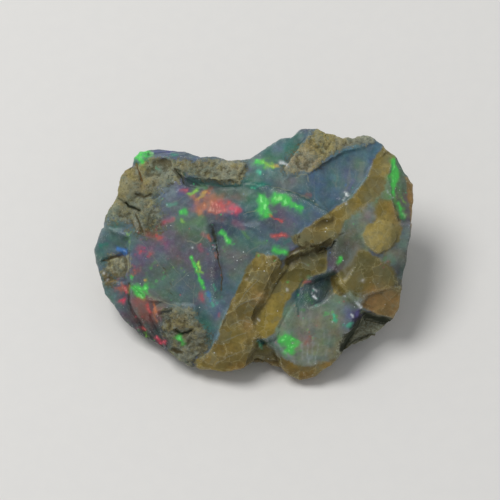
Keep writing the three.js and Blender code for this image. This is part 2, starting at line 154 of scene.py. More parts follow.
# The broken face is a field of plates at their own levels, with chips out of them and cracks between.
# Each plate: place, height there, lean, dome, roughness, edge
plates = {
    "main opal face": ((-5.4, 1.4), 0.9, (0.11, 0.04), 0, 0.05, [
        (-12.6, -2.9), (-12.5, -0.8), (-12.6, 1.4), (-11.4, 3.9), (-10.2, 5.4), (-6.9, 6.8), (-3.9, 6.6),
        (-0.4, 7.1), (3.1, 6.4), (6.6, 4.5), (7.8, 3.8), (4.6, 2.3), (4.6, 0.4), (3, -0.7), (0.8, -3.6),
        (-1.4, -7.6), (-3.9, -9.3), (-4.9, -10.6), (-5.9, -7.6), (-5.9, -5.2), (-10.4, -4.6)]),
    "middle step": ((-10.9, -6.6), -0.7, (0.2, 0.15), 0, 0.05, [
        (-12.6, -3), (-10.2, -3.6), (-8, -5), (-8, -9.5), (-7.9, -10.6), (-9.4, -10.1), (-10.4, -8.7),
        (-11.4, -7.1), (-12.6, -5.2)]),
    "rim step": ((-13.2, -5.4), -1.5, (0.15, 0.1), 0, 0.08, [
        (-15.6, -3), (-12.2, -2.6), (-9.8, -6), (-9, -9), (-10.4, -9.6), (-12, -9), (-14, -7.3),
        (-16, -4.3)]),
    "left opal": ((-14.2, 1.6), -0.9, (0.2, 0.5), 0, 0.08, [
        (-16.8, 0.2), (-16.6, 2.2), (-15.8, 3.8), (-12.9, 3.6), (-12, 1.4), (-12.3, 0.1), (-15.4, -0.4)]),
    "left rim": ((-15.8, -1.2), -2.2, (0.2, 0.25), 0, 0.08, [
        (-16.8, 0.6), (-15.4, -0.4), (-15.3, -3.2), (-16.8, -3.2)]),
    "left pocket crust": ((-13.9, -1.4), -2, (0.12, 0), 0, 0.2, [
        (-15.6, -0.2), (-12.2, 0.3), (-12.2, -3.1), (-14.1, -3.2), (-15.8, -3.1)]),
    "crust shoulder": ((-11.4, 5.9), 0.42, (0.15, 0), 0.005, 0.35, [
        (-12.3, 9.3), (-10.4, 9.4), (-7.4, 8.9), (-6.8, 7), (-8.9, 5.9), (-10.4, 4.4), (-11.2, 2.4),
        (-12.6, 1.6), (-15.9, 3), (-15.7, 5), (-14.6, 5.8), (-14.1, 7.8), (-13.4, 8.9)]),
    "crust knob": ((-12.6, 7), 0.65, (0, 0), 0.16, 0.15, [
        (-13.9, 5.6), (-14, 8), (-12.8, 8.8), (-11.5, 8), (-11.4, 6.2), (-12.4, 5.4)]),
    "lower crust knob": ((-13.4, 4.2), 0.25, (0.1, 0.2), 0.12, 0.2, [
        (-15.6, 3.2), (-15.4, 4.9), (-13.6, 5.5), (-12.2, 4.6), (-12.4, 3.2)]),
    "crust bar": ((-5.4, 8.4), 1.4, (0.05, -0.08), 0.008, 0.22, [
        (-10.8, 9.7), (-9.4, 10), (-6.4, 9.9), (-4.9, 10.2), (-3.2, 9.9), (-1.6, 9.6), (-0.7, 8.9),
        (-1.4, 8.1), (-2, 7), (-3.9, 6.7), (-5.4, 7.1), (-6.8, 7.6), (-8.2, 8.6), (-10.4, 9.1)]),
    "top edge opal": ((-9.4, 10.2), -0.3, (0, 0), 0, 0.1, [
        (-12.3, 9.2), (-12.3, 10.8), (-8.9, 11.1), (-5.1, 10.1), (-5.4, 9.2), (-10.8, 9.2)]),
    "top left corner": ((-11.4, 9.8), 0.5, (0, 0), 0.3, 0.05, [
        (-12.3, 9.2), (-12.3, 10.6), (-10.8, 10.7), (-10.6, 9.4), (-11.4, 9)]),
    "upper opal": ((2, 9), 1.3, (0.04, -0.13), 0, 0.08, [
        (-1.4, 8.1), (-0.8, 9.4), (0.8, 10.8), (2.6, 12), (4.6, 12.9), (6.8, 12.9), (6.2, 11.4), (5, 10.4),
        (4.2, 8.9), (3.6, 7.6), (3.8, 6.2), (-0.4, 7), (-2, 6.9)]),
    "upper crust": ((7.1, 10.2), 1.62, (0, -0.08), 0, 0.2, [
        (5.8, 12.6), (6.8, 12.9), (9.1, 12.1), (11.1, 12.4), (12.8, 11.7), (11.2, 10.7), (9.1, 10.3),
        (7.1, 9.1), (4.9, 7.7), (3.4, 7.7), (3.2, 8.6), (4.3, 10.4)]),
    "opal spur": ((4.6, 6.6), 1.72, (0.02, 0), 0, 0.06, [
        (2.9, 7.6), (4.9, 7.6), (5.8, 5.9), (7.7, 4.1), (6.4, 4.7), (4.6, 5.6), (3, 6.4)]),
    "blue opal face": ((9.1, 7.4), 1.2, (-0.05, -0.03), -0.02, 0.03, [
        (4.9, 7.7), (7.1, 9.2), (9.1, 10.4), (11.2, 10.9), (13.1, 11.3), (13.3, 10.3), (11.9, 8.8),
        (11.3, 7.5), (9.9, 5.9), (7.7, 4), (5.8, 5.8)]),
    "upper amber band": ((8.6, 3.9), 1.78, (-0.06, -0.05), 0, 0.03, [
        (13, 10.9), (14.8, 10.4), (14.8, 9.2), (13.4, 8.2), (12.7, 6.4), (11.8, 5.1), (9.9, 3.8),
        (9.2, 2.2), (7.9, 1.8), (6.8, 1.1), (4.9, 0.4), (4.2, 1.4), (4.6, 2.4), (7.6, 4.1), (9.8, 5.9),
        (11.3, 7.7), (11.9, 9.1)]),
    "lower amber band": ((-0.4, -4.6), 1.5, (0.12, 0.05), 0, 0.04, [
        (1.4, 0.3), (2.4, -0.2), (2.7, -0.8), (1.4, -2.7), (0.5, -4.6), (-0.1, -6.4), (0.2, -7.4),
        (0.5, -8.3), (-0.2, -9.8), (-1, -12), (-2.9, -12.5), (-5.8, -11.7), (-5.8, -10.8), (-4.2, -9.4),
        (-3.5, -7.6), (-2.4, -4.9), (-1, -2.1), (0.3, 0)]),
    "side of the ridge": ((1, -3.6), 1.7, (-0.7, 0.5), 0, 0.05, [
        (2.4, -0.6), (3.3, -1.2), (2.1, -3), (1.2, -4.9), (0.6, -6.7), (0.4, -7.6), (0, -7.4), (-0.2, -6.4),
        (0.4, -4.6), (1.3, -2.7)]),
    "trough floor": ((3, -4.5), 1.08, (0.05, -0.06), 0, 0.03, [
        (2.4, -0.2), (4.6, 1), (6.8, 1.8), (8.2, 2.8), (8.8, 1.4), (8, -0.8), (7.8, -2.4), (5.6, -3.4),
        (4.2, -5), (2.2, -8.3), (1.2, -8.7), (0.4, -8.4), (-0.4, -6.4), (0.2, -4.6), (1.1, -2.7)]),
    "clear opal lump": ((6.1, -7.6), 1.8, (0.03, 0.04), 0.035, 0.08, [
        (4.2, -4.4), (5.2, -3), (7.6, -2.3), (8.8, -3.1), (10, -4.6), (10.7, -5.5), (10.5, -6.4),
        (10.1, -7.3), (9.1, -8), (8.5, -9.1), (8.4, -10.3), (7.9, -11.6), (6.2, -12.7), (4.7, -13.2),
        (3.2, -12.8), (2.8, -11.6), (2.7, -10.5), (1.9, -9.5), (0.9, -8.6), (2.3, -7.9), (3.5, -5.8)]),
    "right block": ((12.1, -0.1), 1.5, (-0.1, 0), 0, 0.05, [
        (8, 1.6), (9.2, 2.2), (10, 3.9), (11.9, 5.1), (12.8, 6.6), (13.6, 8.4), (14.5, 10.3), (15.8, 8.6),
        (16.8, 7), (16.7, 4.4), (16.2, 0.9), (15.5, -2.9), (15.2, -5.9), (14.3, -6.4), (12.4, -5.9),
        (10.7, -5.3), (9.8, -4.6), (8.6, -3.1), (7.7, -2.2), (7.8, -0.6)]),
    "amber knob": ((12.4, 1.7), 1.78, (-0.08, 0), 0.07, 0.12, [
        (10.7, 1.9), (11.3, 2.9), (12.4, 3.4), (13.8, 3.3), (14.5, 2.4), (14.1, 1.2), (13.2, 0.4),
        (12.3, 0.1), (11.4, 0.6)]),
    "matrix foot": ((11.4, -7.9), -1.3, (-0.12, 0.2), 0, 0.15, [
        (8, -7.4), (10.2, -4.8), (14.9, -5.8), (13.9, -7.8), (12.1, -9.1), (10.2, -10.6), (8, -11)]),
    "bay floor": ((1, -10), 0.2, (-0.1, 0.35), 0, 0.3, [
        (-0.6, -8.2), (0.6, -7.8), (2.4, -9), (3.8, -10.8), (3.4, -10.9), (1.1, -10.6), (-1.3, -11)]),
    "ledge of the bay": ((1, -11.2), -0.5, (0, 0.1), 0, 0.1, [
        (-1.3, -10.4), (1.1, -10.2), (3.8, -10.8), (3.4, -12.4), (1.1, -11.9), (-1.1, -12)]),
    "lower crust": ((-6.9, -8.1), 0.85, (0.08, 0.1), 0.06, 0.25, [
        (-10.1, -5.6), (-9.1, -4.9), (-5.9, -5.1), (-5.3, -6.8), (-4.3, -8.1), (-4.1, -9.6), (-4.9, -11.2),
        (-6.4, -11.7), (-7.8, -11.6), (-8.7, -10.2), (-9.3, -8.1)]),
}
# Each chip: place, floor there, lean, dome, slope of its wall, edge
chips = {
    "dish under the bar": ((-3.8, 4.9), 0.85, (0.08, 0), -0.016, 0.2, [
        (-8.6, 5.6), (-6.6, 6.7), (-3.9, 6.5), (-1, 6.9), (0.6, 5.8), (0.2, 3.4), (-3.6, 2.2), (-7.6, 3)]),
    "facet right of the crack": ((-1.4, -0.4), 1.05, (0.17, 0.05), 0, 0.3, [
        (-4.1, 2.7), (-1.6, 3), (1.4, 1.4), (0.4, -0.2), (-1.2, -2.4), (-2.6, -5), (-3.3, -4.2),
        (-3.3, -0.4)]),
    "hollow in the clear opal": ((6.4, -3.5), 0.7, (-0.36, -0.3), 0, 2.5, [
        (4.3, -4), (4.7, -3.3), (5.6, -3), (6.6, -2.6), (7.7, -2.3), (7.9, -3.3), (7.2, -3.9), (6.6, -4.9),
        (5, -5.6)]),
    "facet left of the amber knob": ((9.2, 0.2), 1.62, (-0.04, 0.08), 0, 0.2, [
        (8.3, 1.8), (9.3, 1.9), (10.3, 0.9), (9.8, -0.4), (8.5, -2.2), (8, -0.6)]),
    "right corner break": ((15, 6.4), 0.6, (-0.4, 0.05), 0, 3, [
        (13.6, 8.4), (14.4, 10.4), (17.2, 8.6), (17.2, 3), (14.6, 3.4), (13.9, 5.2)]),
    "pink end break": ((12.8, -4.6), 0.95, (-0.03, 0.16), 0, 5, [
        (10.6, -5.2), (11.4, -4), (13.2, -3.6), (15.6, -3.2), (15.4, -6.6), (14.2, -6.8), (10.5, -6)]),
    "grey window": ((-9.9, 8.6), 0.45, (0, 0), 0, 0.8, [
        (-11, 8.7), (-10.6, 9.1), (-9, 9.1), (-8.8, 8.5), (-9.6, 8), (-10.8, 8)]),
}
# Each seam: width, depth, darkness, tone, path
seams = {
    "main crack": (0.1, 0.6, 0.95, "black brown", [
        (-4.2, 2.7), (-4, 2), (-3.8, 1.3), (-3.7, 0.4), (-3.5, -0.6)]),
    "foot of the main crack": (0.07, 0.4, 0.85, "umber", [
        (-3.55, -0.4), (-3.3, -1.6), (-3.2, -2.6), (-3.3, -3.6)]),
    "mouth of the main crack": (0.17, 0.3, 0.9, "black brown", [(-4.15, 2.6), (-4, 1.9), (-3.85, 1.2)]),
    "crevice in the shoulder": (0.1, 0.3, 0.7, "umber", [(-11.9, 4), (-11.5, 3.1), (-11.2, 2.2)]),
    "crevice under the head": (0.08, 0.25, 0.6, "umber", [(-11.9, 6.1), (-11.1, 5.7), (-10.4, 6)]),
    "crack through the bar": (0.08, 0.3, 0.8, "black brown", [(-7.8, 8.4), (-7.3, 7.7), (-7, 7)]),
    "crack beside the knob": (0.1, 0.4, 0.8, "rust", [(-11.9, 9.1), (-11.6, 8.4), (-11.3, 7.4)]),
    "holes between the knobs": (0.11, 0.4, 0.9, "black brown", [
        (-12.9, 5.2), (-12.6, 4.8), (-12.1, 4.6), (-11.5, 4.4)]),
    # painted shadow that the overhanging opal casts onto the pocket, over a shallow groove
    "shadow under the roof of the left pocket": (0.11, 0.35, 0.8, "umber", [
        (-15.4, -0.7), (-15, -0.6), (-14.2, -0.3), (-13.4, -0.1), (-12.6, 0.1)]),
    # cracks between the terraces, darkened with painted shadow on the walls of the steps
    "shaded terrace crack": (0.17, 0.35, 0.95, "ink", [
        (-12.6, -2.9), (-12.7, -3.8), (-12.7, -4.8), (-12.3, -5.8), (-11.6, -6.8), (-11, -7.8),
        (-10.4, -8.6)]),
    "second shaded terrace crack": (0.1, 0.25, 0.7, "ink", [
        (-10.5, -6.2), (-10, -7.4), (-9.4, -8.4), (-8.8, -9.2)]),
    "shade under the bar": (0.16, 0.1, 0.6, "deep teal", [
        (-7, 8.1), (-6.6, 7.6), (-5.7, 7.2), (-4.4, 7), (-2.9, 6.7), (-1.4, 6.8)]),
    # painted shadow below the spur's edge, over a shallow groove
    "shadow below the spur edge": (0.09, 0.08, 0.5, "deep teal", [
        (-0.9, 7.2), (0.8, 6.9), (2.6, 6.5), (4.6, 5.8), (6.1, 5.1)]),
    "pit in the lower crust": (0.13, 0.5, 0.95, "black brown", [
        (-7.8, -7.7), (-7.3, -8), (-6.7, -7.9), (-6.3, -7.6)]),
    "low pit in the lower crust": (0.14, 0.3, 0.8, "umber", [(-8.1, -9.6), (-7.6, -9.9), (-7.2, -9.9)]),
    "wedge above the lower crust": (0.12, 0.3, 0.8, "ink", [(-9.6, -5.9), (-9, -5.8), (-8.3, -5.7)]),
    "pits on the face a": (0.06, 0.08, 0.6, "umber", [(-9.1, -1.4), (-8.8, -1.7), (-8.9, -2.1)]),
    "pits on the face b": (0.05, 0.08, 0.5, "dark olive", [(-8.4, -2.9), (-8.1, -3.3)]),
    "pits on the face c": (0.05, 0.08, 0.5, "umber", [(-8.6, -3.6), (-8.2, -4.1)]),
    # painted shade on the ridge's wall that faces away from the light
    "shade on the wall of the trough": (0.3, 0.03, 0.35, "dark olive", [
        (3, -1), (2.2, -2), (1.5, -3.2), (0.9, -4.5), (0.4, -5.8)]),
    # painted shadows along the ledge at the head of the trough, over shallow grooves
    "shadow at the head of the trough": (0.2, 0.15, 0.85, "umber", [(3, -0.8), (3.6, 0.1), (4.3, 0.5), (5.2, 0.7)]),
    "shaded nick above the trough": (0.14, 0.2, 0.9, "umber", [(5.2, 1.1), (5.7, 0.8), (6.3, 0.7)]),
    "shaded nick beside the trough": (0.14, 0.2, 0.85, "umber", [(6.4, 0.2), (7, 0.5), (7.6, 1.1)]),
    "edge of the clear lump": (0.12, 0.06, 0.55, "deep teal", [
        (4.9, -2.6), (4.3, -3.6), (4.2, -4.6), (4.4, -6)]),
    "hole between the lobes": (0.18, 0.7, 0.9, "deep teal", [(0.4, -8.6), (0.6, -8.8), (0.9, -9)]),
    # painted shadow in the recess under the pink end's overhang
    "shadow in the recess at the pink end": (0.36, 0.4, 0.95, "black brown", [
        (10.3, -5.9), (11.5, -6.25), (12.9, -6.65), (14.2, -6.95)]),
    "shade on the matrix": (0.6, 0.05, 0.92, "black brown", [
        (10.5, -6.2), (10.2, -7.3), (9.4, -8.6), (8.9, -9.8)]),
}
paleLines = {  # thin pale lines: width, strength, path
    "veil a": (0.3, 0.3, [(10.9, 9.2), (10.8, 8.2), (10.6, 7.2)]),
    "veil b": (0.22, 0.28, [(9.6, 8.4), (9.5, 7.2), (9.2, 6.4)]),
    "veil c": (0.16, 0.25, [(8.4, 8), (8.2, 6.8)]),
    "face scratch a": (0.05, 0.35, [(-8.8, -3.9), (-6.6, -1.9)]),
    "face scratch b": (0.05, 0.35, [(-8.4, -0.9), (-5.6, -4.4)]),
    "face scratch c": (0.05, 0.3, [(-5.9, -2.9), (-6.1, -5)]),
    "face scratch d": (0.04, 0.3, [(-9.9, 4.2), (-6.9, 5.8)]),
    "face scratch e": (0.05, 0.3, [(-2.4, -0.9), (0.6, 0.9)]),
    "face scratch f": (0.05, 0.3, [(-11.2, 1.2), (-8.6, -2.2)]),
    "curl by the crack": (0.09, 0.55, [(-6.6, 1.3), (-5.8, 1.1), (-5.4, 1.2), (-5.1, 1.7), (-5, 2.1)]),
    "scratch": (0.07, 0.5, [(-1, 4), (0.2, 4.4)]),
    "step edge": (0.09, 0.55, [(-10.5, -4.3), (-9.6, -4.6), (-8.4, -5), (-7.2, -5.4)]),
    "spur edge": (0.09, 0.5, [(-0.7, 7), (2.5, 6.6), (5.2, 5.7), (6.3, 4.9)]),
    "pink ray": (0.05, 0.22, [(12.9, -4), (14.3, -5.4)]),
    "top of the pink end": (0.06, 0.2, [(11.3, -4.5), (12.2, -4), (13.4, -3.7), (14.6, -3.2)]),
    "lump streak a": (0.08, 0.3, [(5.9, -4.9), (5.1, -6.4), (4.9, -8), (5.2, -9.6)]),
    "lump streak b": (0.06, 0.3, [(6.8, -5.2), (6.2, -6.8), (6.3, -8.6), (6.9, -10.4)]),
    "lump edge": (0.07, 0.35, [(4.2, -4.6), (4.2, -5.8), (3.4, -7.4), (2.2, -8.8)]),
    "amber vein a": (0.06, 0.4, [(0.4, -2.5), (-0.6, -3.6), (-1.4, -4.6)]),
    "amber vein b": (0.06, 0.4, [(0.8, -4.2), (-0.4, -4.6), (-1.3, -5), (-2, -5.6)]),
    "amber vein c": (0.06, 0.4, [(-0.4, -6.8), (-1.4, -6.6), (-2.4, -7.2)]),
    "amber vein d": (0.06, 0.4, [(-0.8, -7.9), (-1.8, -8.2), (-3.2, -8.8)]),
    "amber vein e": (0.06, 0.4, [(-1.4, -9.8), (-2.4, -10.2), (-3.8, -11)]),
    "trough scratch": (0.08, 0.5, [(4.6, -0.8), (5.5, -1.2)]),
    # painted highlight on the lit rim of the crust's step
    "highlight on the rim of the crust": (0.14, 0.5, [(8.6, 10.5), (9.4, 10.9), (10.6, 11.3), (12, 11.2)]),
    "curl on the spur": (0.09, 0.6, [(4.2, 7.6), (4.7, 8), (5.3, 7.9), (5.4, 7.3)]),
}


def pathDistance(path, u, v, closed=False):  # below 0 inside a closed path
    points = np.array(path + path[:1] if closed else path, float)
    nearest = np.full(len(u), np.inf)
    inside = np.zeros(len(u), bool)
    for (au, av), (bu, bv) in zip(points[:-1], points[1:]):
        eu, ev = bu - au, bv - av
        t = np.clip(((u - au) * eu + (v - av) * ev) / (eu * eu + ev * ev), 0, 1)
        nearest = np.minimum(nearest, np.hypot(u - au - t * eu, v - av - t * ev))
        if closed and av != bv:
            inside ^= ((av > v) != (bv > v)) & (u < au + (v - av) / ev * eu)
    return np.where(inside, -nearest, nearest)


def beside(path, u, v):  # signed distance from an open path, and how far past its ends
    nearest = np.full(len(u), np.inf)
    side = np.ones(len(u))
    past = np.zeros(len(u))
    last = len(path) - 2
    for index, ((au, av), (bu, bv)) in enumerate(zip(path[:-1], path[1:])):
        eu, ev = bu - au, bv - av
        length = math.hypot(eu, ev)
        along = ((u - au) * eu + (v - av) * ev) / length
        t = np.clip(along, 0, length) / length
        distance = np.hypot(u - au - t * eu, v - av - t * ev)
        closer = distance < nearest
        nearest = np.where(closer, distance, nearest)
        side = np.where(closer, np.sign((u - au) * ev - (v - av) * eu), side)
        before = -along if index == 0 else 0
        after = along - length if index == last else 0
        past = np.where(closer, np.maximum(0, np.maximum(before, after)), past)
    return nearest * side, past


def nearPath(path, u, v, margin):
    low, high = np.min(path, axis=0) - margin, np.max(path, axis=0) + margin
    return (u > low[0]) & (u < high[0]) & (v > low[1]) & (v < high[1])


def levels(table, u, v):  # each plate or chip: who is near, its level there, its extra, how far outside
    for place, height, lean, dome, extra, edge in table.values():
        near = nearPath(edge, u, v, gem["wallReach"])
        du, dv = u[near] - place[0], v[near] - place[1]
        level = height + lean[0] * du + lean[1] * dv - dome * (du * du + dv * dv)
        yield near, level, extra, np.maximum(0, pathDistance(edge, u[near], v[near], True))


def faceAt(u, v, bump):
    level = np.full(len(u), gem["bed"])
    for near, top, rough, outside in levels(plates, u, v):
        level[near] = np.maximum(level[near], top + rough * bump[near] - gem["wallSlope"] * outside)
    flare, start = gem["chipFlare"]
    for near, floor, slope, outside in levels(chips, u, v):
        wall = slope * outside + flare * np.maximum(0, outside - start) ** 2
        level[near] = np.minimum(level[near], floor + wall)
    for width, depth, dark, tone, path in seams.values():
        near = nearPath(path, u, v, width + 0.2)
        closeness = 1 - pathDistance(path, u[near], v[near]) / (width + gem["seamSide"])
        level[near] -= depth * np.clip(closeness, 0, 1)
    return level - gem["dome"][0] * u * u - gem["dome"][1] * v * v


def smooth(value, low, high):
    t = np.clip((value - low) / (high - low), 0, 1)
    return t * t * (3 - 2 * t)


def lumps(places, size, seed, octaves=2):
    return np.array([
        noise.fractal(Vector(p), 1, 2.1, octaves, noise_basis="PERLIN_NEW")
        for p in (places / size + seed * 7.31).tolist()
    ])


def drift(places, size, seeds, octaves=2):  # one column of lumps for each seed
    return np.stack([lumps(places, size, seed, octaves) for seed in seeds], 1)


def strayOf(places):  # how far the edges wander from their drawn course
    (long, longSize), (short, shortSize) = gem["longWander"], gem["shortWander"]
    return long * drift(places, longSize, (31, 32), 3) + short * drift(places, shortSize, (33, 34))


def scatter(cell, seed):  # three even random numbers for each whole-numbered cell
    numbers = []
    for k in range(3):
        h = cell[:, 0] * 73856093 ^ cell[:, 1] * 19349663 ^ cell[:, 2] * 83492791 ^ (seed * 7919 + k * 104729)
        h = (h ^ (h >> 13)) * 1274126177 & 0xFFFFFFFF
        h = (h ^ (h >> 16)) * 668265263 & 0xFFFFFFFF
        numbers.append((h ^ (h >> 15)) & 0xFFFFF)
    return np.stack(numbers, 1) / float(0x100000)


def scoops(places, size, seed):  # shallow bowls that meet at sharp ridges, and a number from 0 to 1 for each
    scaled = places / size
    home = np.floor(scaled).astype(np.int64)
    lowest = np.full(len(places), np.inf)
    number = np.zeros(len(places))
    for step in product((-1, 0, 1), repeat=3):
        cell = home + np.array(step)
        chance = scatter(cell, seed)
        away = scaled - cell - chance
        depth = (away**2).sum(1) - 0.35 * chance[:, 0]
        number = np.where(depth < lowest, chance.sum(1) * 5 % 1, number)
        lowest = np.minimum(lowest, depth)
    return np.minimum(lowest, 0.65) - 0.2, number


def copySolid():
    bpy.ops.object.select_all(action="DESELECT")
    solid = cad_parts["opal"]
    piece = bpy.data.objects.new("rough_opal", solid.data.copy())
    bpy.context.scene.collection.objects.link(piece)
    piece.data.materials.clear()
    bpy.context.view_layer.objects.active = piece
    piece.select_set(True)
    bpy.ops.object.mode_set(mode="EDIT")
    bpy.ops.mesh.select_all(action="SELECT")
    bpy.ops.mesh.remove_doubles(threshold=1e-7)
    bpy.ops.transform.resize(value=(1 / mm,) * 3, center_override=(0, 0, 0))  # worked on in mm
    bpy.ops.object.mode_set(mode="OBJECT")
    remesh = piece.modifiers.new("fine squares", "REMESH")
    remesh.mode = "VOXEL"
    remesh.voxel_size = gem["voxel"]
    remesh.adaptivity = 0
    bpy.ops.object.modifier_apply(modifier=remesh.name)
    return piece


def readArray(items, name, size, kind=float):
    values = np.empty(len(items) * size, kind)
    items.foreach_get(name, values)
    return values.reshape(-1, size)


def writePlaces(piece, places):
    piece.data.vertices.foreach_set("co", places.astype(np.float32).ravel())
    piece.data.update()


def evenOut(values, ends, share):  # moves each value towards the mean of its neighbours
    count = len(values)
    degree = np.bincount(ends.ravel(), minlength=count).astype(float)
    mean = np.empty_like(values)
    for axis in range(values.shape[1]):
        total = np.bincount(ends[:, 0], values[ends[:, 1], axis], count)
        total += np.bincount(ends[:, 1], values[ends[:, 0], axis], count)
        mean[:, axis] = total / degree
    return values + share * (mean - values)


def calm(places, ends, turns=12):  # eases stretched spots
    for turn in range(turns):
        length = np.linalg.norm(places[ends[:, 0]] - places[ends[:, 1]], axis=1)
        longest = np.zeros(len(places))
        np.maximum.at(longest, ends[:, 0], length)
        np.maximum.at(longest, ends[:, 1], length)
        share = smooth(longest, 2.2 * gem["voxel"], 4 * gem["voxel"])[:, None]
        places = places + share * (evenOut(places, ends, 0.7) - places)
    return places


def dropSpikes(places, ends, turns=4):  # draws in lone vertices that stick out
    for turn in range(turns):
        mean = evenOut(places, ends, 1)
        share = smooth(np.linalg.norm(mean - places, axis=1), *gem["spikes"])[:, None]
        places = places + share * (mean - places)
    return places


def fillBay(places):
    (bu, bv), (reachU, reachV), floor, left = gem["bay"]
    u, v, w = toFace(places).T
    share = smooth(np.hypot((u - bu) / reachU, (v - bv) / reachV), 1, 0.8) * smooth(w, *gem["bayDepth"])
    lifted = np.where(w < floor, (1 - left) * share * (floor - w), 0)
    return places + lifted[:, None] * faceAxes[2]


def drawOntoFace(places, ends):
    bump = lumps(toFace(places), gem["plateLumps"], 3)
    stray = strayOf(places).T
    probe, ease, step = gem["probe"], gem["ease"], gem["step"]
    for turn in range(gem["rounds"]):
        spread = evenOut(places, ends, 0.5)
        u, v, w = toFace(spread).T
        level = faceAt(u + stray[0], v + stray[1], bump)
        above = w - (level - gem["crestDepth"])
        weight = smooth(above, *gem["drawn"]) * smooth(places[:, 2], 0.1, 0.6)
        part = weight > 0
        pu, pv, pw, pb, (strayU, strayV) = u[part], v[part], w[part], bump[part], stray[:, part]
        sides = []
        for du, dv in ((0, 0), (probe, 0), (0, probe)):
            su, sv = pu + du, pv + dv
            sideLevel = level[part] if du == dv else faceAt(su + strayU, sv + strayV, pb)
            sideAbove = pw - (sideLevel - gem["crestDepth"])
            lean = gem["flankIn"] * np.maximum(0, sideAbove) + gem["flankUnder"] * np.maximum(0, -sideAbove)
            share = gem["outlineWander"]
            edge = pathDistance(outline, su + share * strayU, sv + share * strayV, True)
            sides.append(((pw - sideLevel) * ease, edge + lean))
        onFace = sides[0][0] > sides[0][1]
        here, besideU, besideV = (np.where(onFace, face, flank) for face, flank in sides)
        upward = np.where(onFace, ease, np.where(above[part] > 0, gem["flankIn"], -gem["flankUnder"]))
        slope = np.stack([(besideU - here) / probe, (besideV - here) / probe, upward], 1)
        move = np.clip(-here / (slope**2).sum(1), -step, step)
        target = fromFace(np.stack([pu, pv, pw], 1) + slope * move[:, None])
        places = places.copy()
        places[part] += weight[part, None] * (target - places[part])
        places[:, 2] = np.maximum(places[:, 2], 0)
    return calm(places, ends)


# Where each kind of stone lies on the face; the rest of it is opal
crustEdges = {
    "bar and shoulder": [(-11.5, 9.1), (-10.4, 9.7), (-6.4, 9.5), (-2.4, 9.4), (-0.8, 9.1), (-0.8, 8.2),
        (-1.4, 7), (-2.8, 7.1), (-4, 7.3), (-5.1, 7.3), (-5.8, 7.8), (-6.8, 7.9), (-7.4, 7.2), (-8.4, 7),
        (-9.4, 6.4), (-9.9, 5.6), (-9.6, 4.8), (-9.1, 3.9), (-8.8, 2.8), (-9.6, 2), (-10.8, 1.6),
        (-11.6, 1.8), (-12.3, 2.4), (-12.6, 3.2), (-14.2, 3.4), (-15.4, 3.4), (-15.2, 5), (-14.4, 5.6),
        (-14.3, 7.6), (-13.4, 8.8), (-12.2, 8.9)],
    "left pocket": [(-14.9, -0.3), (-13.9, 0), (-12.6, -0.1), (-12.4, -0.9), (-12.7, -1.9), (-13.3, -2.4),
        (-14.4, -2.4), (-15.1, -1.6)],
    "left grains": [(-15.6, -1.4), (-14.8, -1.6), (-13.8, -2.8), (-14.4, -3.4), (-15.5, -2.9)],
    "lower lump": [(-9.6, -5.9), (-8.9, -5.3), (-7.9, -5.4), (-6.4, -5.3), (-5.8, -5.9), (-5.9, -6.6),
        (-5, -7.3), (-4.3, -8.1), (-4.3, -9.1), (-5.1, -10.3), (-6, -10.8), (-5.7, -12.2), (-7.8, -12),
        (-8.4, -10.1), (-8.5, -9.1), (-9.1, -8.1), (-9.4, -7)],
    "upper edge": [(5.6, 11.9), (6.7, 13), (8, 12.4), (9.2, 12.2), (11, 12.6), (12.4, 11.9), (12, 11.1),
        (10.4, 11), (9, 10.7), (8, 10), (6.8, 9), (5.6, 8.2), (3.4, 8), (2.9, 8.6), (3.6, 9.8), (4.6, 10.7),
        (5.2, 11.3)],
}
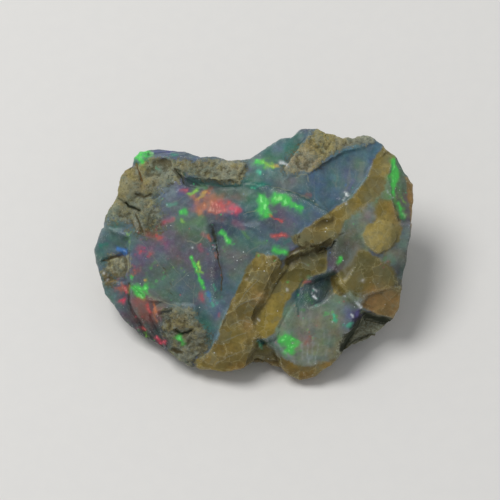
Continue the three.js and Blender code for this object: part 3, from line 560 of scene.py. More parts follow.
amberEdges = {  # name: (how broken up, edge)
    "ridge": (1, [
        (0.3, 0.2), (2, -0.1), (2.8, -0.8), (2.2, -2.4), (1.2, -4.4), (0.5, -6.4), (0.6, -7.4), (0.6, -8.3),
        (-0.2, -10), (-0.8, -12.2), (-1.6, -12.8), (-3.2, -12.8), (-5.4, -12), (-6.1, -10.9), (-5.1, -10.2),
        (-4.4, -9.5), (-3.6, -8.6), (-3.3, -7.2), (-2.7, -6), (-2.2, -4.5), (-1.3, -2.8), (-0.7, -1.2)]),
    "trough": (0.15, [
        (2.2, -1.4), (5, -1.6), (5.5, -2.2), (4.6, -3.4), (3.8, -4), (3.1, -4.9), (2.8, -6.3), (2, -8),
        (1.2, -8.5), (0.5, -8.5), (0, -7), (0.6, -4.6), (1.5, -2.6)]),
    "trough head": (1, [
        (3.8, 0.3), (5.2, 0.7), (7.2, 0.7), (7.2, -1.8), (5.5, -2.3), (3.7, -1.8), (2.6, -1.7),
        (3.2, -0.5)]),
    "upper band": (0.22, [
        (13.1, 10.9), (14.6, 10.2), (13.7, 8.7), (13.2, 6.8), (12.6, 5.8), (11.2, 4.8), (10, 3.9), (9, 3.1),
        (8.5, 2.1), (7.6, 0.8), (5.2, 0.5), (4, 1), (3.7, 1.7), (5.2, 2.7), (6.8, 3.7), (8.4, 4.7),
        (9.9, 5.8), (11.3, 7.5), (11.9, 8.9), (12.3, 10)]),
    "foot of the upper band": (0.9, [
        (4, 1), (3.7, 1.7), (5.2, 2.7), (6.8, 3.6), (8.2, 3.4), (8.5, 2.1), (7.6, 0.8), (5.2, 0.5)]),
    "knob": (0.3, [
        (10.7, 1.9), (11.2, 2.8), (12.1, 3.4), (12.1, 4.4), (12.5, 5.6), (13.7, 5.4), (14.5, 4.2),
        (14.9, 2.6), (14.5, 1.2), (13.4, 0.4), (12.6, 0), (11.9, 0.2), (11.2, 0.9)]),
    "right of the trough": (0.3, [
        (7.6, -2.2), (8.3, -1.9), (9.5, -0.9), (10.6, 0.5), (11.5, 0.2), (12.3, -0.3), (13.4, -0.9),
        (14.6, -2.8), (13.6, -3.6), (11.4, -4), (10.2, -4.2), (9.6, -3.7), (8.9, -4.2), (8, -3.9)]),
    "pink end": (0.6, [
        (10.9, -4.6), (11.2, -4), (13.4, -3.3), (15.4, -2.9), (15.2, -5.4), (14.6, -6.8), (12.4, -6.1),
        (10.6, -5.3)]),
    "foot of the clear lump": (0.6, [
        (2.8, -10.3), (4.2, -11.2), (5.6, -11.4), (7.1, -10.9), (8.2, -10.3), (8.4, -11.4), (6.4, -13),
        (5.4, -13.6), (4, -13.6), (2.8, -12.2), (2.6, -11.2)]),
    "foot of the bay": (0.8, [
        (-0.8, -10.7), (-0.3, -9), (0.4, -8.9), (1.2, -9.2), (2.1, -9.9), (3, -10.9), (3.2, -12.4),
        (-0.8, -12.4)]),
    "right tip": (0.3, [
        (15.2, 7.8), (16.6, 7.6), (16.8, 4), (16.4, 0.5), (15.7, 0.9), (15.8, 4.4), (15.5, 6)]),
}
matrixEdges = {
    "foot": [(10.5, -5.5), (12.4, -6.2), (15, -6.7), (13.6, -7.9), (11.4, -9.6), (9.9, -10.6), (8.2, -10.4),
        (8.3, -9.1), (8.8, -8.2), (9.9, -7.5), (10.4, -6.5)],
}

# Tones, as seen in daylight on a screen
tones = {
    "grey lavender": (88, 94, 108), "pale grey": (112, 118, 120), "mauve": (98, 86, 98),
    "navy violet": (60, 62, 88), "sage": (90, 108, 98), "olive": (84, 102, 76), "deep teal": (42, 80, 76),
    "teal": (60, 108, 96), "sea grey": (82, 106, 104), "slate blue": (78, 104, 118),
    "steel": (104, 122, 122), "warm grey": (108, 108, 100), "rose grey": (116, 100, 88),
    "salmon": (134, 90, 80), "plum": (80, 58, 56), "lilac": (108, 107, 146), "celadon": (122, 132, 106),
    "dark slate": (46, 58, 66), "milky": (126, 134, 134), "moss": (104, 120, 84), "drab": (98, 96, 72),
    "brown plum": (84, 70, 56), "straw grey": (118, 116, 92), "edge shade": (70, 68, 60), "gold": (138, 124, 66),
    "warm milk": (140, 138, 114), "plum shade": (58, 50, 46), "olive brown": (92, 86, 54),
    "shadow brown": (70, 60, 36), "stone grey": (84, 82, 78), "dull mustard": (108, 96, 64),
    "toffee": (142, 104, 50), "pink clay": (146, 126, 104), "yellow clay": (140, 130, 80),
    "pale clay": (156, 148, 120), "rust clay": (126, 104, 66), "ochre": (138, 126, 80),
    "beige": (136, 134, 108), "grey tan": (118, 118, 98), "umber": (78, 62, 38), "ash": (136, 138, 122),
    "clay": (132, 120, 86), "window grey": (84, 102, 96), "teal grey": (88, 104, 96),
    "mustard": (130, 116, 64), "pale mustard": (162, 150, 100), "honey": (122, 100, 50),
    "tan": (138, 122, 80), "rose tan": (152, 122, 90), "russet": (88, 56, 34), "dark olive": (94, 80, 44),
    "rust": (110, 72, 34), "ink": (42, 42, 46), "black brown": (30, 25, 20), "khaki": (104, 98, 78),
    "vein": (168, 156, 112),
}
opalPatches = {  # tone: places u, v and reach
    "grey lavender": [(-8.4, 5.7, 1.4), (-6.8, -3.1, 1.2), (3.6, 2.2, 0.9), (-7.2, 4.9, 1)],
    "pale grey": [(-9.4, 6.8, 0.9), (-0.2, 9, 0.8), (-8.3, 6.9, 0.7)],
    "mauve": [(-8.2, 1.4, 1.3), (-4.9, 5.4, 1.6), (2.7, 3.8, 1.1), (-10.4, -0.4, 1.4), (-5.9, -0.2, 1.3),
        (-4, -1.6, 1), (-12.8, -6.2, 1)],
    "navy violet": [(-0.6, 3.4, 0.8), (-2.8, 2.8, 1.3), (-1.4, 3.6, 1.1), (-0.6, 3, 0.9), (1.6, 2.8, 0.9),
        (-2, 3, 0.8)],
    "sage": [(-7.8, -3.6, 1.6), (-9.2, -2.1, 1.2), (3.7, -5.8, 0.9), (1.9, -8.9, 0.6), (-6.4, 2.6, 1)],
    "olive": [(-5.9, 2.2, 1.3), (-10.2, 2.9, 0.8), (10, 1.8, 0.7)],
    "deep teal": [(-3.9, 6.7, 1.1), (-5.4, 6.9, 0.8), (-2, 6.7, 0.9), (0.8, 6.8, 1), (5.3, -4.6, 0.9),
        (0.6, -8.9, 0.3)],
    "teal": [(0.4, 7.4, 0.9), (-0.2, 6.3, 0.6), (-0.8, 4.9, 1.2), (0.2, 3.9, 0.8), (3.2, 10.4, 1.2),
        (1.4, 8.6, 1), (-4.9, -7.1, 1.2), (-1.2, 1.7, 1)],
    "sea grey": [(-15.4, 0.4, 1.2), (-13.9, 1.8, 1), (-12.8, 1.4, 0.8), (-15.4, -3.1, 0.8),
        (-14, -5.2, 0.8), (-14.6, -3.9, 0.7), (0.6, 1.4, 1.2)],
    "slate blue": [(4.6, 5.6, 1.2), (8.1, 8.9, 1.6), (11.4, 10.4, 1.4), (7.6, 7.2, 1.3), (4.8, 3.8, 1.2),
        (6.6, 4.9, 1.2), (-2.8, -3.2, 1.1), (-4.1, -5.1, 0.9), (-0.4, 2.9, 0.8)],
    "steel": [(1.4, 7.6, 1), (9.2, 7, 1.2), (-1.2, -2.9, 0.9), (2.4, 11, 0.6), (14.6, 1.4, 0.7),
        (-3.2, -6.9, 1), (-3.4, -5, 0.8), (-4.6, -5, 0.8), (-2.2, -4.6, 0.6), (-3, -8.2, 0.7)],
    "warm grey": [(-2.2, 0.2, 1), (-1.8, -1.4, 1), (4.6, -7.6, 1.2), (3.5, 6.8, 1), (14.6, 1.4, 1)],
    "rose grey": [(15.5, 5.4, 1), (13.6, -3.1, 0.9)],
    "salmon": [(-10.7, -5.6, 1.2)],
    "plum": [(8.5, -1.1, 0.6)],
    # painted shade in the shadowed wedge below the terraces
    "ink": [(-10, -7.2, 0.6), (-9.7, -8, 0.6), (-9.1, -8.9, 0.5)],
    "plum shade": [(-10.7, -7.4, 0.9), (-11.5, -7, 0.8), (-9.6, -8.7, 0.9), (-12.3, -6.3, 0.7),
        (-10.4, -8.2, 0.7)],
    "brown plum": [(9, 1, 0.8), (8.8, 0.2, 0.7)],
    "drab": [(0.4, -9.6, 0.8), (0, -10.4, 0.6), (1.6, -10, 0.8), (0.6, -10.4, 0.6), (9.8, -0.3, 0.7),
        (10.2, 0.6, 0.6), (9.4, -0.9, 0.6), (8.2, -3.4, 0.8), (-4, 6.1, 0.9), (-2.4, 6, 0.7),
        (-0.9, 5.9, 0.5)],
    "straw grey": [(9.1, 2.9, 0.9), (9.6, 2.3, 0.7), (9.4, 2, 0.5), (7.1, -8.1, 1.1), (7.6, -9.8, 1),
        (8, -8.8, 0.9), (7.2, -6.4, 0.7), (2.8, -6.8, 0.7)],
    "warm milk": [(4.9, -7.2, 0.7), (6, -8.6, 0.8), (3.4, -6.4, 0.6), (3.1, -7.6, 0.6), (6.8, -7.2, 0.8),
        (8.4, -6.6, 0.7), (7.4, -9.2, 0.7), (11.8, 3.6, 0.8), (11.9, 4.2, 0.6), (5.6, -9.8, 1.1),
        (6, -10.8, 1), (5.2, -8.4, 0.9), (10.7, 2.3, 0.5), (11, 0.9, 0.4), (5.4, -6.2, 0.8)],
    # painted shade where the right edge turns away from the light
    "edge shade": [(15.2, -0.9, 1), (14.9, -2.6, 0.8)],
    "lilac": [(9.6, -6.1, 1)],
    "celadon": [(9, -4.7, 1.3), (9.8, -4.2, 0.8), (10.6, 3.4, 0.8), (4.4, -9.9, 0.9), (12.9, 6.4, 0.8),
        (3.6, -6, 0.9), (3.2, -7.4, 0.8), (4.2, -7.4, 0.8), (14.1, -0.1, 0.7)],
    "dark slate": [(6.6, -3.4, 1)],
    "moss": [(10.4, 9.2, 0.6), (13.2, 5.6, 0.9), (13.4, 8.6, 0.8), (14.1, 7.4, 0.9)],
}
crustPatches = {
    "ochre": [(-13.3, 7, 0.9), (-13.3, 6, 0.8), (7.4, 11, 0.9), (-12.9, 7.4, 0.8), (6.8, 11.4, 1.1),
        (-10.4, 9.4, 0.9), (-13, 8, 0.6)],
    "beige": [(-13.6, 4.3, 1.1), (-12.6, 3.8, 0.9), (-1.4, 8.2, 0.9), (4.6, 8.9, 1.1), (-13.8, -1.1, 1),
        (9.1, 11.4, 0.8), (-5.6, -10.2, 0.9)],
    "grey tan": [(-6.9, 8.6, 1.4), (-3.9, 8.4, 1.4), (-7.4, -6.6, 1.2), (-10.4, 5.8, 0.9), (-7.8, -9.1, 1),
        (-5.6, -9.1, 1), (-10.4, 4.4, 0.8)],
    "umber": [(-8, -6.4, 0.6), (-6.9, -7.6, 0.5), (-6, -10, 0.5), (-11.1, 2, 0.6), (-12.2, 4.4, 0.6),
        (-10.2, 2.8, 0.8), (-14.6, -2.4, 0.7), (-7.4, -8, 0.8), (-8.4, -7.4, 0.6), (-10.6, 3.6, 0.5)],
    "ash": [(10.6, 11.5, 1.2), (-6.9, -10.8, 0.9), (-3.2, 8.9, 0.7)],
    "stone grey": [(-5.6, -9.4, 1), (-6.2, -10.6, 0.9), (-5, -8.4, 0.7), (-7.4, -9.4, 0.6),
        (-8.6, -6.4, 0.6), (-6.6, -11.4, 0.8)],
    "pink clay": [(4.3, 9.3, 0.7), (5, 8.5, 0.6), (5.9, 9.2, 0.5), (-12, 3, 0.5)],
    "yellow clay": [(6.4, 11.3, 0.9), (7.2, 10.6, 0.8), (6.9, 11.9, 0.6), (-10.9, 9.4, 0.6),
        (-11, 7.7, 0.5)],
    "pale clay": [(-13.4, -0.8, 0.6), (5, 9.4, 0.8), (7.4, 10.6, 0.7), (-5.4, -9.6, 0.6), (-2.6, 8.8, 0.6),
        (8.8, 11.3, 0.7)],
    "rust clay": [(-10.9, 4.9, 0.5), (-11.3, 6.9, 0.6), (-9.9, 7, 0.5), (-9.2, 9.3, 0.5), (-7.4, -6.9, 0.6),
        (5.8, 10.8, 0.6), (-5.4, 9.2, 0.5), (-1.8, 8.4, 0.4), (-14.4, -2.2, 0.5), (-12.9, 8.2, 0.5)],
    "clay": [(3.8, 8.6, 0.7), (8.2, 10.6, 0.9), (6.2, 9.4, 0.9), (-10.2, 7.4, 0.9), (-7, 9.2, 0.7)],
    "window grey": [(-10.3, 5.1, 0.6), (-11.2, 3.4, 0.6), (-9.4, 3.4, 0.5), (-12.1, 5.2, 0.6),
        (-6.4, 8.2, 0.6), (-9.9, 8.6, 0.9), (-9.9, 8.6, 0.7), (-12.4, 3.6, 0.8), (-14.2, 3.6, 0.9),
        (-9.6, 6.6, 0.8)],
    "khaki": [(-12.6, 6.4, 0.9), (-12, 7.6, 0.6), (-11.2, 8.4, 0.6), (-6.4, -8.2, 0.7), (-6.2, -6.8, 0.8)],
    # painted shade on the side of the lower crust next to the terraces
    "plum shade": [(-8.4, -8.2, 0.9), (-9, -7, 0.7), (-7, -8.1, 0.6)],
}
amberPatches = {
    "toffee": [(3, -12, 0.8), (4.4, -12.8, 0.9), (5.6, -12.4, 0.7), (7.8, -11.4, 0.6), (-1.8, -11.8, 0.7)],
    "dull mustard": [(1.4, -2.2, 1.1), (0.6, -3.8, 0.9), (-0.8, -4.2, 0.8), (-1.6, -5.6, 0.9),
        (1.9, -0.9, 0.9)],
    "warm milk": [(13.3, 9.1, 0.4), (12.9, 6.6, 0.4), (11.4, 5.4, 0.4), (9.6, 3.9, 0.4), (8.6, 2.9, 0.4)],
    "pale mustard": [(12.4, 1.6, 1), (12.6, 1.2, 0.8), (11.8, 1.6, 0.8), (13.4, 2.4, 0.8),
        (13.3, 8.4, 0.6)],
    "gold": [(12.2, 8, 0.5), (10.4, 5.2, 0.6), (8, 3.4, 0.6), (12.7, 9.4, 0.4), (2.6, -4.6, 1.2),
        (1.4, -6.7, 1), (3.2, -3.2, 0.9), (2.2, -6.6, 1), (9.4, -2.6, 0.7), (1.2, -8, 0.7)],
    "drab": [(10.8, -1.4, 1.1), (12.2, -1.2, 1.1), (9.4, -1.6, 0.8), (13.6, -2.4, 1), (14.2, -1.6, 0.8)],
    # painted shade where the right edge turns away from the light
    "edge shade": [(15, -3, 0.8), (14.9, -1.4, 0.7)],
    "straw grey": [(12.1, 7.2, 0.7), (12.3, 6.2, 0.7), (13.2, 9.4, 0.7), (9.4, 5, 0.5), (10.2, 4, 0.6),
        (8.2, 2.4, 0.6), (13.8, 2.3, 0.6), (10.9, 1.2, 0.4), (14, 1.2, 0.5), (-2.4, -6.8, 0.6),
        (4.6, 1.6, 0.5), (13.8, 7.6, 0.5)],
    "mustard": [(0.8, -0.8, 0.9), (-0.4, -2.4, 1), (-2, -8.4, 1), (12.6, 8.7, 0.7), (10.6, 5.5, 0.8),
        (8.9, 3.7, 0.8), (7.2, 2.9, 0.9), (-1.4, -4.6, 0.7), (3.8, -12, 0.8)],
    "honey": [(10, 5, 0.5), (4.6, -12, 1), (4, -12.4, 0.9), (3.4, -11.4, 0.8), (8.2, 3.2, 0.5),
        (5.8, 2.6, 0.9), (12.2, -2.2, 0.9), (-3.2, -9, 0.9), (-0.6, -5.6, 0.7)],
    "tan": [(-1.6, -6.4, 1), (-0.4, -7.6, 0.8), (-0.9, -9.6, 1), (-3.6, -10.6, 0.9), (6.4, -11.8, 0.9),
        (7.6, -11, 0.7), (0, -3.4, 0.6)],
    "rose tan": [(16.2, 6.4, 1.2), (16, 3.4, 1.2), (0.4, -4.2, 0.6), (-0.6, -7, 0.5), (13.1, -4.6, 1.2),
        (14.1, -5.6, 0.9), (11.6, -5.2, 0.8)],
    "russet": [(1.4, -11.4, 1.1), (0.2, -11.2, 0.7)],
    "olive brown": [(0.8, -9.6, 0.7), (1.4, -10.2, 0.7), (0.8, -10.2, 1), (-0.2, -10, 0.7),
        (2.2, -9.8, 0.8), (4.6, -1.9, 0.9), (3, -1.8, 0.8), (6.4, -0.6, 0.9), (4.4, 1, 0.6),
        (9.8, -3.4, 0.9), (5.4, -2, 0.7), (-2.2, -11.4, 1), (0.9, -3.2, 0.5), (0.2, -5.8, 0.5),
        (5.4, 1.6, 0.6)],
    "shadow brown": [(0.4, -9.4, 0.5), (0.9, -9.2, 0.4), (4.2, -0.2, 0.7), (5.2, 0.1, 0.6), (3.4, 0.2, 0.5),
        (6.6, 1, 0.6), (4.6, -12.6, 0.8), (6.2, -12.3, 0.7), (2.6, -11.8, 0.6)],
}
softEdges = {  # where crust or amber fades into the opal
    "crust": [(-9.6, 2.6, 1.6), (-9, 5.6, 1.3), (-12.4, 2.6, 1), (-14.4, 3.2, 0.8), (-4.6, -8.6, 0.8),
        (4.2, 10.2, 1), (3.2, 8.4, 0.7)],
    "amber": [(13.4, 3.8, 1.8), (13.4, -0.4, 1.3), (9.6, 0.4, 1.2), (10.8, -4.2, 1.6), (14.6, -2.8, 1.2),
        (12.9, 7.4, 0.9), (10.6, 4.4, 1.2), (6.4, -10.9, 1)],
}

fireTones = {
    "green": (80, 204, 88), "yellow green": (140, 196, 78), "pale green": (150, 210, 140),
    "dull green": (92, 138, 88), "teal": (50, 130, 112), "sea green": (80, 190, 150),
    "blue": (74, 132, 200), "indigo": (84, 90, 142), "violet": (108, 102, 160), "yellow": (200, 170, 84),
    "orange": (182, 114, 78), "salmon": (160, 96, 82), "red": (190, 86, 82), "crimson": (200, 74, 94),
    # the last of these tones is for painted glints
    "pink": (174, 94, 104), "frost": (164, 174, 170), "white": (222, 228, 228),
}
# Play of colour, and painted glints: tone: strokes from u, v to u, v, then half their width and their
# strength
fireStrokes = {
    "dull green": [(-7.6, 3, -5.4, 3.2, 0.9, 0.5), (0.4, 1.1, 1.1, 1.2, 0.4, 0.6),
        (-1.1, 2.2, -0.6, 1.6, 0.2, 0.7), (-10.4, -1.4, -9.9, -0.8, 0.2, 0.6),
        (-10.7, -2, -10.8, -3, 0.2, 0.5), (6.8, -5.1, 7.2, -5, 0.2, 0.6), (5.3, -2.3, 5.6, -2.3, 0.14, 0.6),
        (4.6, -5.5, 5, -5.6, 0.16, 0.7), (13, -0.7, 13.3, -0.3, 0.22, 0.7),
        (-13, 1.4, -12.6, 1.7, 0.2, 0.6), (5.2, -4.1, 5.7, -4.6, 0.3, 0.6),
        (-5.8, 6.6, -5, 6.7, 0.26, 0.6)],
    "teal": [(-8.2, 10.1, -7.8, 10, 0.22, 0.8), (0, 6.7, 0.8, 6.8, 0.26, 0.85),
        (-0.5, 7, 1.6, 6.9, 0.34, 0.5), (-15.5, 0.9, -14.9, 1, 0.32, 0.6), (3.1, 1.1, 3.5, 1.4, 0.22, 0.5),
        (-4.1, 1.1, -4.4, 0.4, 0.2, 0.4)],
    "indigo": [(-10.1, 10.4, -8.4, 10.3, 0.3, 0.6), (-3.4, -5.2, -3.8, -6.2, 0.4, 0.4)],
    "violet": [(10.3, -6.2, 10.5, -5.7, 0.26, 0.6), (9.6, -6.1, 10.1, -5.8, 0.34, 0.4),
        (9.5, 6.6, 9.8, 7.2, 0.24, 0.45)],
    "blue": [(-13.7, 0.4, -13, 0.3, 0.27, 1), (-4.5, -3.9, -4.4, -4.6, 0.14, 0.6)],
    "sea green": [(-9.9, 8.7, -9.6, 8.5, 0.14, 0.5), (0.4, 8.3, 0.6, 8.1, 0.2, 0.85),
        (-0.1, 6.6, 0.1, 6.6, 0.14, 0.95), (-4.1, -2.9, -3.8, -3.6, 0.14, 0.65),
        (-4.3, -4.4, -4, -5.2, 0.14, 0.85), (7.9, -6.1, 8.2, -6.6, 0.18, 0.95),
        (9.3, -7.2, 9.6, -7, 0.2, 0.85), (-8.6, 5, -7.9, 5, 0.24, 0.45), (0.5, -8.8, 0.6, -9.2, 0.16, 0.9)],
    "green": [(-11.6, 10.2, -10.8, 10.3, 0.46, 1), (-11.8, 9.8, -11.2, 9.4, 0.36, 0.9),
        (0.8, 5.6, 1.2, 5, 0.38, 0.95), (1, 4.7, 1.4, 4.3, 0.5, 1), (0.7, 4.1, 1.2, 3.7, 0.4, 0.8),
        (2.9, 5.4, 4.6, 4.6, 0.42, 0.95), (2.1, 5.6, 2.9, 5.4, 0.5, 1), (2, 0.3, 3, 0.2, 0.3, 0.9),
        (-7.4, 4.2, -6.9, 4.2, 0.28, 0.85), (-3.2, 2.2, -2.4, 1.1, 0.24, 0.8),
        (-11.9, -3.4, -10.8, -3.5, 0.5, 1), (-11.4, -3.9, -11.1, -4.2, 0.36, 0.95),
        (-6.3, -0.2, -5.7, -1.6, 0.18, 1), (-5.7, -1.6, -5.1, -3.3, 0.17, 1),
        (-7.5, -8.4, -7.2, -8.9, 0.25, 0.95), (3.2, -8.6, 3.7, -9.3, 0.7, 0.95),
        (3.7, -8.4, 4.3, -8.8, 0.4, 0.8), (3.5, -9.6, 3.8, -9.9, 0.25, 0.75), (14.1, 9.4, 14.1, 8, 0.36, 1),
        (14.1, 8, 14, 6.3, 0.4, 0.95), (14.5, 5.1, 15, 3.9, 0.32, 0.85), (0.2, 9.3, 0.9, 9.1, 0.34, 1),
        (8.4, -0.8, 8.6, -0.5, 0.2, 0.7), (-12.3, -2.3, -12.2, -2.4, 0.16, 0.75),
        (7.3, -5.9, 7.4, -6, 0.15, 0.5)],
    "yellow green": [(-6.4, 6.1, -5.7, 6.4, 0.2, 0.85), (-5.6, -0.8, -5.2, -1.8, 0.12, 0.95),
        (14.8, 5.6, 15.2, 5.1, 0.2, 0.7), (0.7, 9.2, 1.9, 8.8, 0.3, 0.95),
        (-10.9, -8.1, -10.9, -8.5, 0.13, 0.9), (-7.2, 3.4, -7, 3.3, 0.17, 0.8),
        (-12.8, 2.2, -12.7, 2, 0.12, 0.65), (2.3, 5.6, 2.8, 5.5, 0.2, 0.8)],
    "pale green": [(-10.6, 10.3, -10.3, 10.3, 0.27, 0.85), (-2.9, 1.8, -2.7, 1.3, 0.12, 0.9),
        (15, 4.2, 15.2, 3.8, 0.13, 0.9)],
    "yellow": [(1.7, 8.85, 2.4, 8.8, 0.2, 0.85), (-5.7, 5.4, -4.8, 6.2, 0.16, 0.6),
        (-11.1, -2.6, -10.9, -2.7, 0.15, 0.95)],
    "orange": [(-5.4, 4.7, -4.3, 5.2, 0.7, 0.75), (-4.9, 6.1, -4.2, 6.5, 0.25, 0.5),
        (-6.1, 5.8, -5.5, 5.2, 0.3, 0.65), (-4.6, 5.8, -3.2, 5.7, 0.35, 0.35),
        (-10.1, -4.9, -9.9, -5.8, 0.19, 0.8), (-10.1, -5.9, -9.8, -6.8, 0.13, 0.6),
        (-5.7, -1.6, -5.6, -1.8, 0.14, 0.95), (-4.6, 1.9, -4.4, 1.3, 0.16, 0.55),
        (-3.9, 0.2, -3.8, -0.2, 0.14, 0.6)],
    "salmon": [(-4.6, 4.5, -3.6, 4.3, 0.55, 0.65), (-2.2, 5.7, -1.5, 5.6, 0.3, 0.3),
        (-11.8, -4.9, -11.1, -4.6, 0.5, 0.5), (-11.4, -6.1, -10.4, -6.6, 0.6, 0.4),
        (-13.6, -3.6, -13.1, -3.4, 0.45, 0.9), (-12, -1.8, -11.4, -1.6, 0.3, 0.5),
        (-10.6, 1.9, -9.6, 1.6, 0.3, 0.6), (5.2, -8.8, 5.6, -8.2, 0.3, 0.5), (5.2, 6, 5.6, 5.9, 0.2, 0.55)],
    "red": [(-3.9, 4.9, -2.8, 4.9, 0.5, 0.7), (-3.5, 4.2, -3, 4.4, 0.28, 0.8),
        (1.5, 3.9, 2.7, 3.1, 0.13, 0.9), (2, 1.8, 3.1, 1.9, 0.26, 0.95), (-11.6, 0.5, -11.4, 0.2, 0.3, 0.4),
        (-10.5, 0, -10.2, 0.1, 0.3, 0.4), (-11.3, -7.5, -11.1, -7.7, 0.17, 0.95),
        (-9.8, 2, -9.4, 1.6, 0.22, 0.7), (5, -2.8, 5.6, -2.7, 0.14, 0.6),
        (-10.8, -5.2, -10.5, -5.8, 0.17, 0.95)],
    "crimson": [(-2.2, 4.6, -1.5, 4.3, 0.38, 0.9), (-13.5, -4.8, -13, -4.6, 0.22, 0.8),
        (-13, -3.4, -12.9, -3.9, 0.18, 0.95), (-9.9, -8.3, -9.7, -8.6, 0.19, 1),
        (-9.4, -9, -9.1, -8.9, 0.19, 0.85)],
    "frost": [(4.7, -9, 4.9, -10.6, 0.14, 0.5), (5.3, -8.8, 5.4, -10.9, 0.12, 0.6),
        (5.9, -8.2, 5.8, -10.4, 0.14, 0.5), (6.4, -9, 6.2, -11, 0.12, 0.6),
        (6.9, -7.4, 7.1, -9.2, 0.14, 0.4), (4.7, -5.4, 4.9, -7.2, 0.15, 0.35),
        (7.6, -8, 7.2, -10.2, 0.12, 0.4), (10.2, 0.6, 9, -1.6, 0.3, 0.3), (3, -9.7, 4.2, -10.9, 0.14, 0.5),
        (2.2, -8.8, 2.9, -9.6, 0.2, 0.35), (5.6, -6, 5.4, -7.8, 0.12, 0.3)],
    "pink": [(-7.4, 6.4, -6.7, 6.4, 0.19, 0.8), (-9.1, 3.2, -8.2, 3.4, 0.32, 0.65),
        (-5, 2, -4.5, 1.4, 0.22, 0.45), (-5.3, -4.2, -5.1, -4.6, 0.42, 0.7),
        (-5.5, 0.8, -5.2, 0.3, 0.2, 0.5), (-3.6, -6, -3.5, -6.2, 0.14, 0.8),
        (-9.4, 1.4, -8.8, 0.8, 0.3, 0.45), (-2, 3.2, -1, 2.6, 0.3, 0.35)],
    # painted glints: small white highlights put in the colour
    "white": [(9.1, 6.2, 9.4, 5.8, 0.1, 1), (8.3, 5.6, 8.6, 5.5, 0.08, 0.7), (8.9, 5.4, 9, 5.2, 0.08, 0.7),
        (-6.25, 0.7, -6.15, 0.6, 0.11, 0.85), (-4.1, 0.75, -4, 0.65, 0.1, 0.8),
        (-8.1, 7.2, -8, 7.15, 0.11, 0.75), (5.9, -3.4, 6.3, -3.7, 0.1, 0.7),
        (6, -4.2, 6.2, -4.4, 0.12, 0.9), (10.4, -4.95, 10.7, -5.3, 0.15, 1),
        (9.75, -6.15, 9.85, -6.25, 0.11, 0.9), (9, -4.05, 9.1, -4.15, 0.11, 0.8),
        (3.2, -3.5, 3.3, -3.6, 0.1, 0.6), (0.4, -6.5, 0.5, -6.6, 0.1, 0.55),
        (10.7, -2.6, 10.8, -2.7, 0.1, 0.55), (7.8, -6.8, 7.9, -6.9, 0.09, 0.6),
        (2.7, 9.2, 3.3, 8.9, 0.15, 0.8), (0.5, -8.7, 0.6, -8.85, 0.12, 0.8),
        (13.4, 6.4, 13.9, 5.7, 0.1, 0.45)],
}
# Grainy fire, and grains of painted glint: tone: clusters at u, v, how far they spread, and how many grains
fireGrains = {
    "crimson": [(-11.6, -7, 0.4, 5), (-10, -9.4, 0.3, 4), (-2.6, 4.6, 0.5, 5), (-11.5, 0.4, 0.35, 6),
        (-10.4, 0.1, 0.3, 5), (-9.8, 2, 0.4, 5), (-4.9, 1.4, 0.4, 4)],
    "pink": [(-11.9, -1.5, 0.3, 6), (-10.9, 1.4, 0.4, 3), (-13.4, -4.2, 0.4, 5), (-8.6, 0.6, 0.8, 4),
        (13, -0.9, 0.5, 3)],
    "orange": [(-4.4, 5.2, 0.7, 7), (-12.2, -1.9, 0.3, 4), (-13.3, -3, 0.3, 5), (6.1, -8, 0.4, 5),
        (-4.2, 0.2, 0.3, 4)],
    "yellow green": [(-12.7, 2, 0.3, 4), (-7.9, -1.8, 0.5, 5), (-5.4, -1.3, 0.25, 5), (5.5, -8.2, 0.4, 4)],
    "green": [(-11.4, -8.2, 0.3, 5), (-9.6, -2.6, 0.5, 5), (8.5, -0.6, 0.2, 6), (7.4, -5.9, 0.25, 6),
        (8.1, -6.4, 0.25, 7), (-12.2, -2.4, 0.25, 3), (-10.2, -1.4, 0.6, 4), (4.4, -2.3, 0.9, 4),
        (2.2, 0.1, 0.7, 4), (-2.6, 1.6, 0.4, 5)],
    "sea green": [(-8.6, 10.2, 0.7, 8), (-4.2, -4.8, 0.4, 7), (9.3, -7.1, 0.3, 5), (5.6, -4.4, 0.5, 5)],
    "blue": [(-4.4, -4.6, 0.3, 4), (9.7, 6.4, 0.4, 3)],
    # painted glints, in small clusters
    "white": [(8.8, 5.5, 0.5, 4), (6.1, -3.9, 0.3, 3), (-14.9, -2.2, 0.4, 4)],
}


def linear(rgb):
    srgb = np.array(rgb) / 255
    return np.where(srgb < 0.04045, srgb / 12.92, ((srgb + 0.055) / 1.055) ** 2.4)


def zoneDistance(zones, u, v):
    distance = np.full(len(u), 3.0)
    for edge in zones:
        near = nearPath(edge, u, v, 3)
        distance[near] = np.minimum(distance[near], pathDistance(edge, u[near], v[near], True))
    return distance


def nearness(du, dv, reach):
    return np.exp(-(du**2 + dv**2) / reach**2)


def blendTones(patches, base, u, v):
    weight = np.full(len(u), 0.12)
    colour = np.outer(weight, linear(tones[base]))
    for tone, spots in patches.items():
        for pu, pv, reach in spots:
            share = nearness(u - pu, v - pv, gem["patchSpread"] * reach)
            weight += share
            colour += share[:, None] * linear(tones[tone])
    return colour / weight[:, None]


def addAttribute(piece, name, values):
    if values.ndim == 1:
        layer = piece.data.attributes.new(name, "FLOAT", "POINT")
        layer.data.foreach_set("value", values.astype(np.float32))
    else:
        if values.shape[1] == 3:
            values = np.column_stack([values, np.ones(len(values))])
        layer = piece.data.attributes.new(name, "FLOAT_COLOR", "POINT")
        layer.data.foreach_set("color", values.astype(np.float32).ravel())


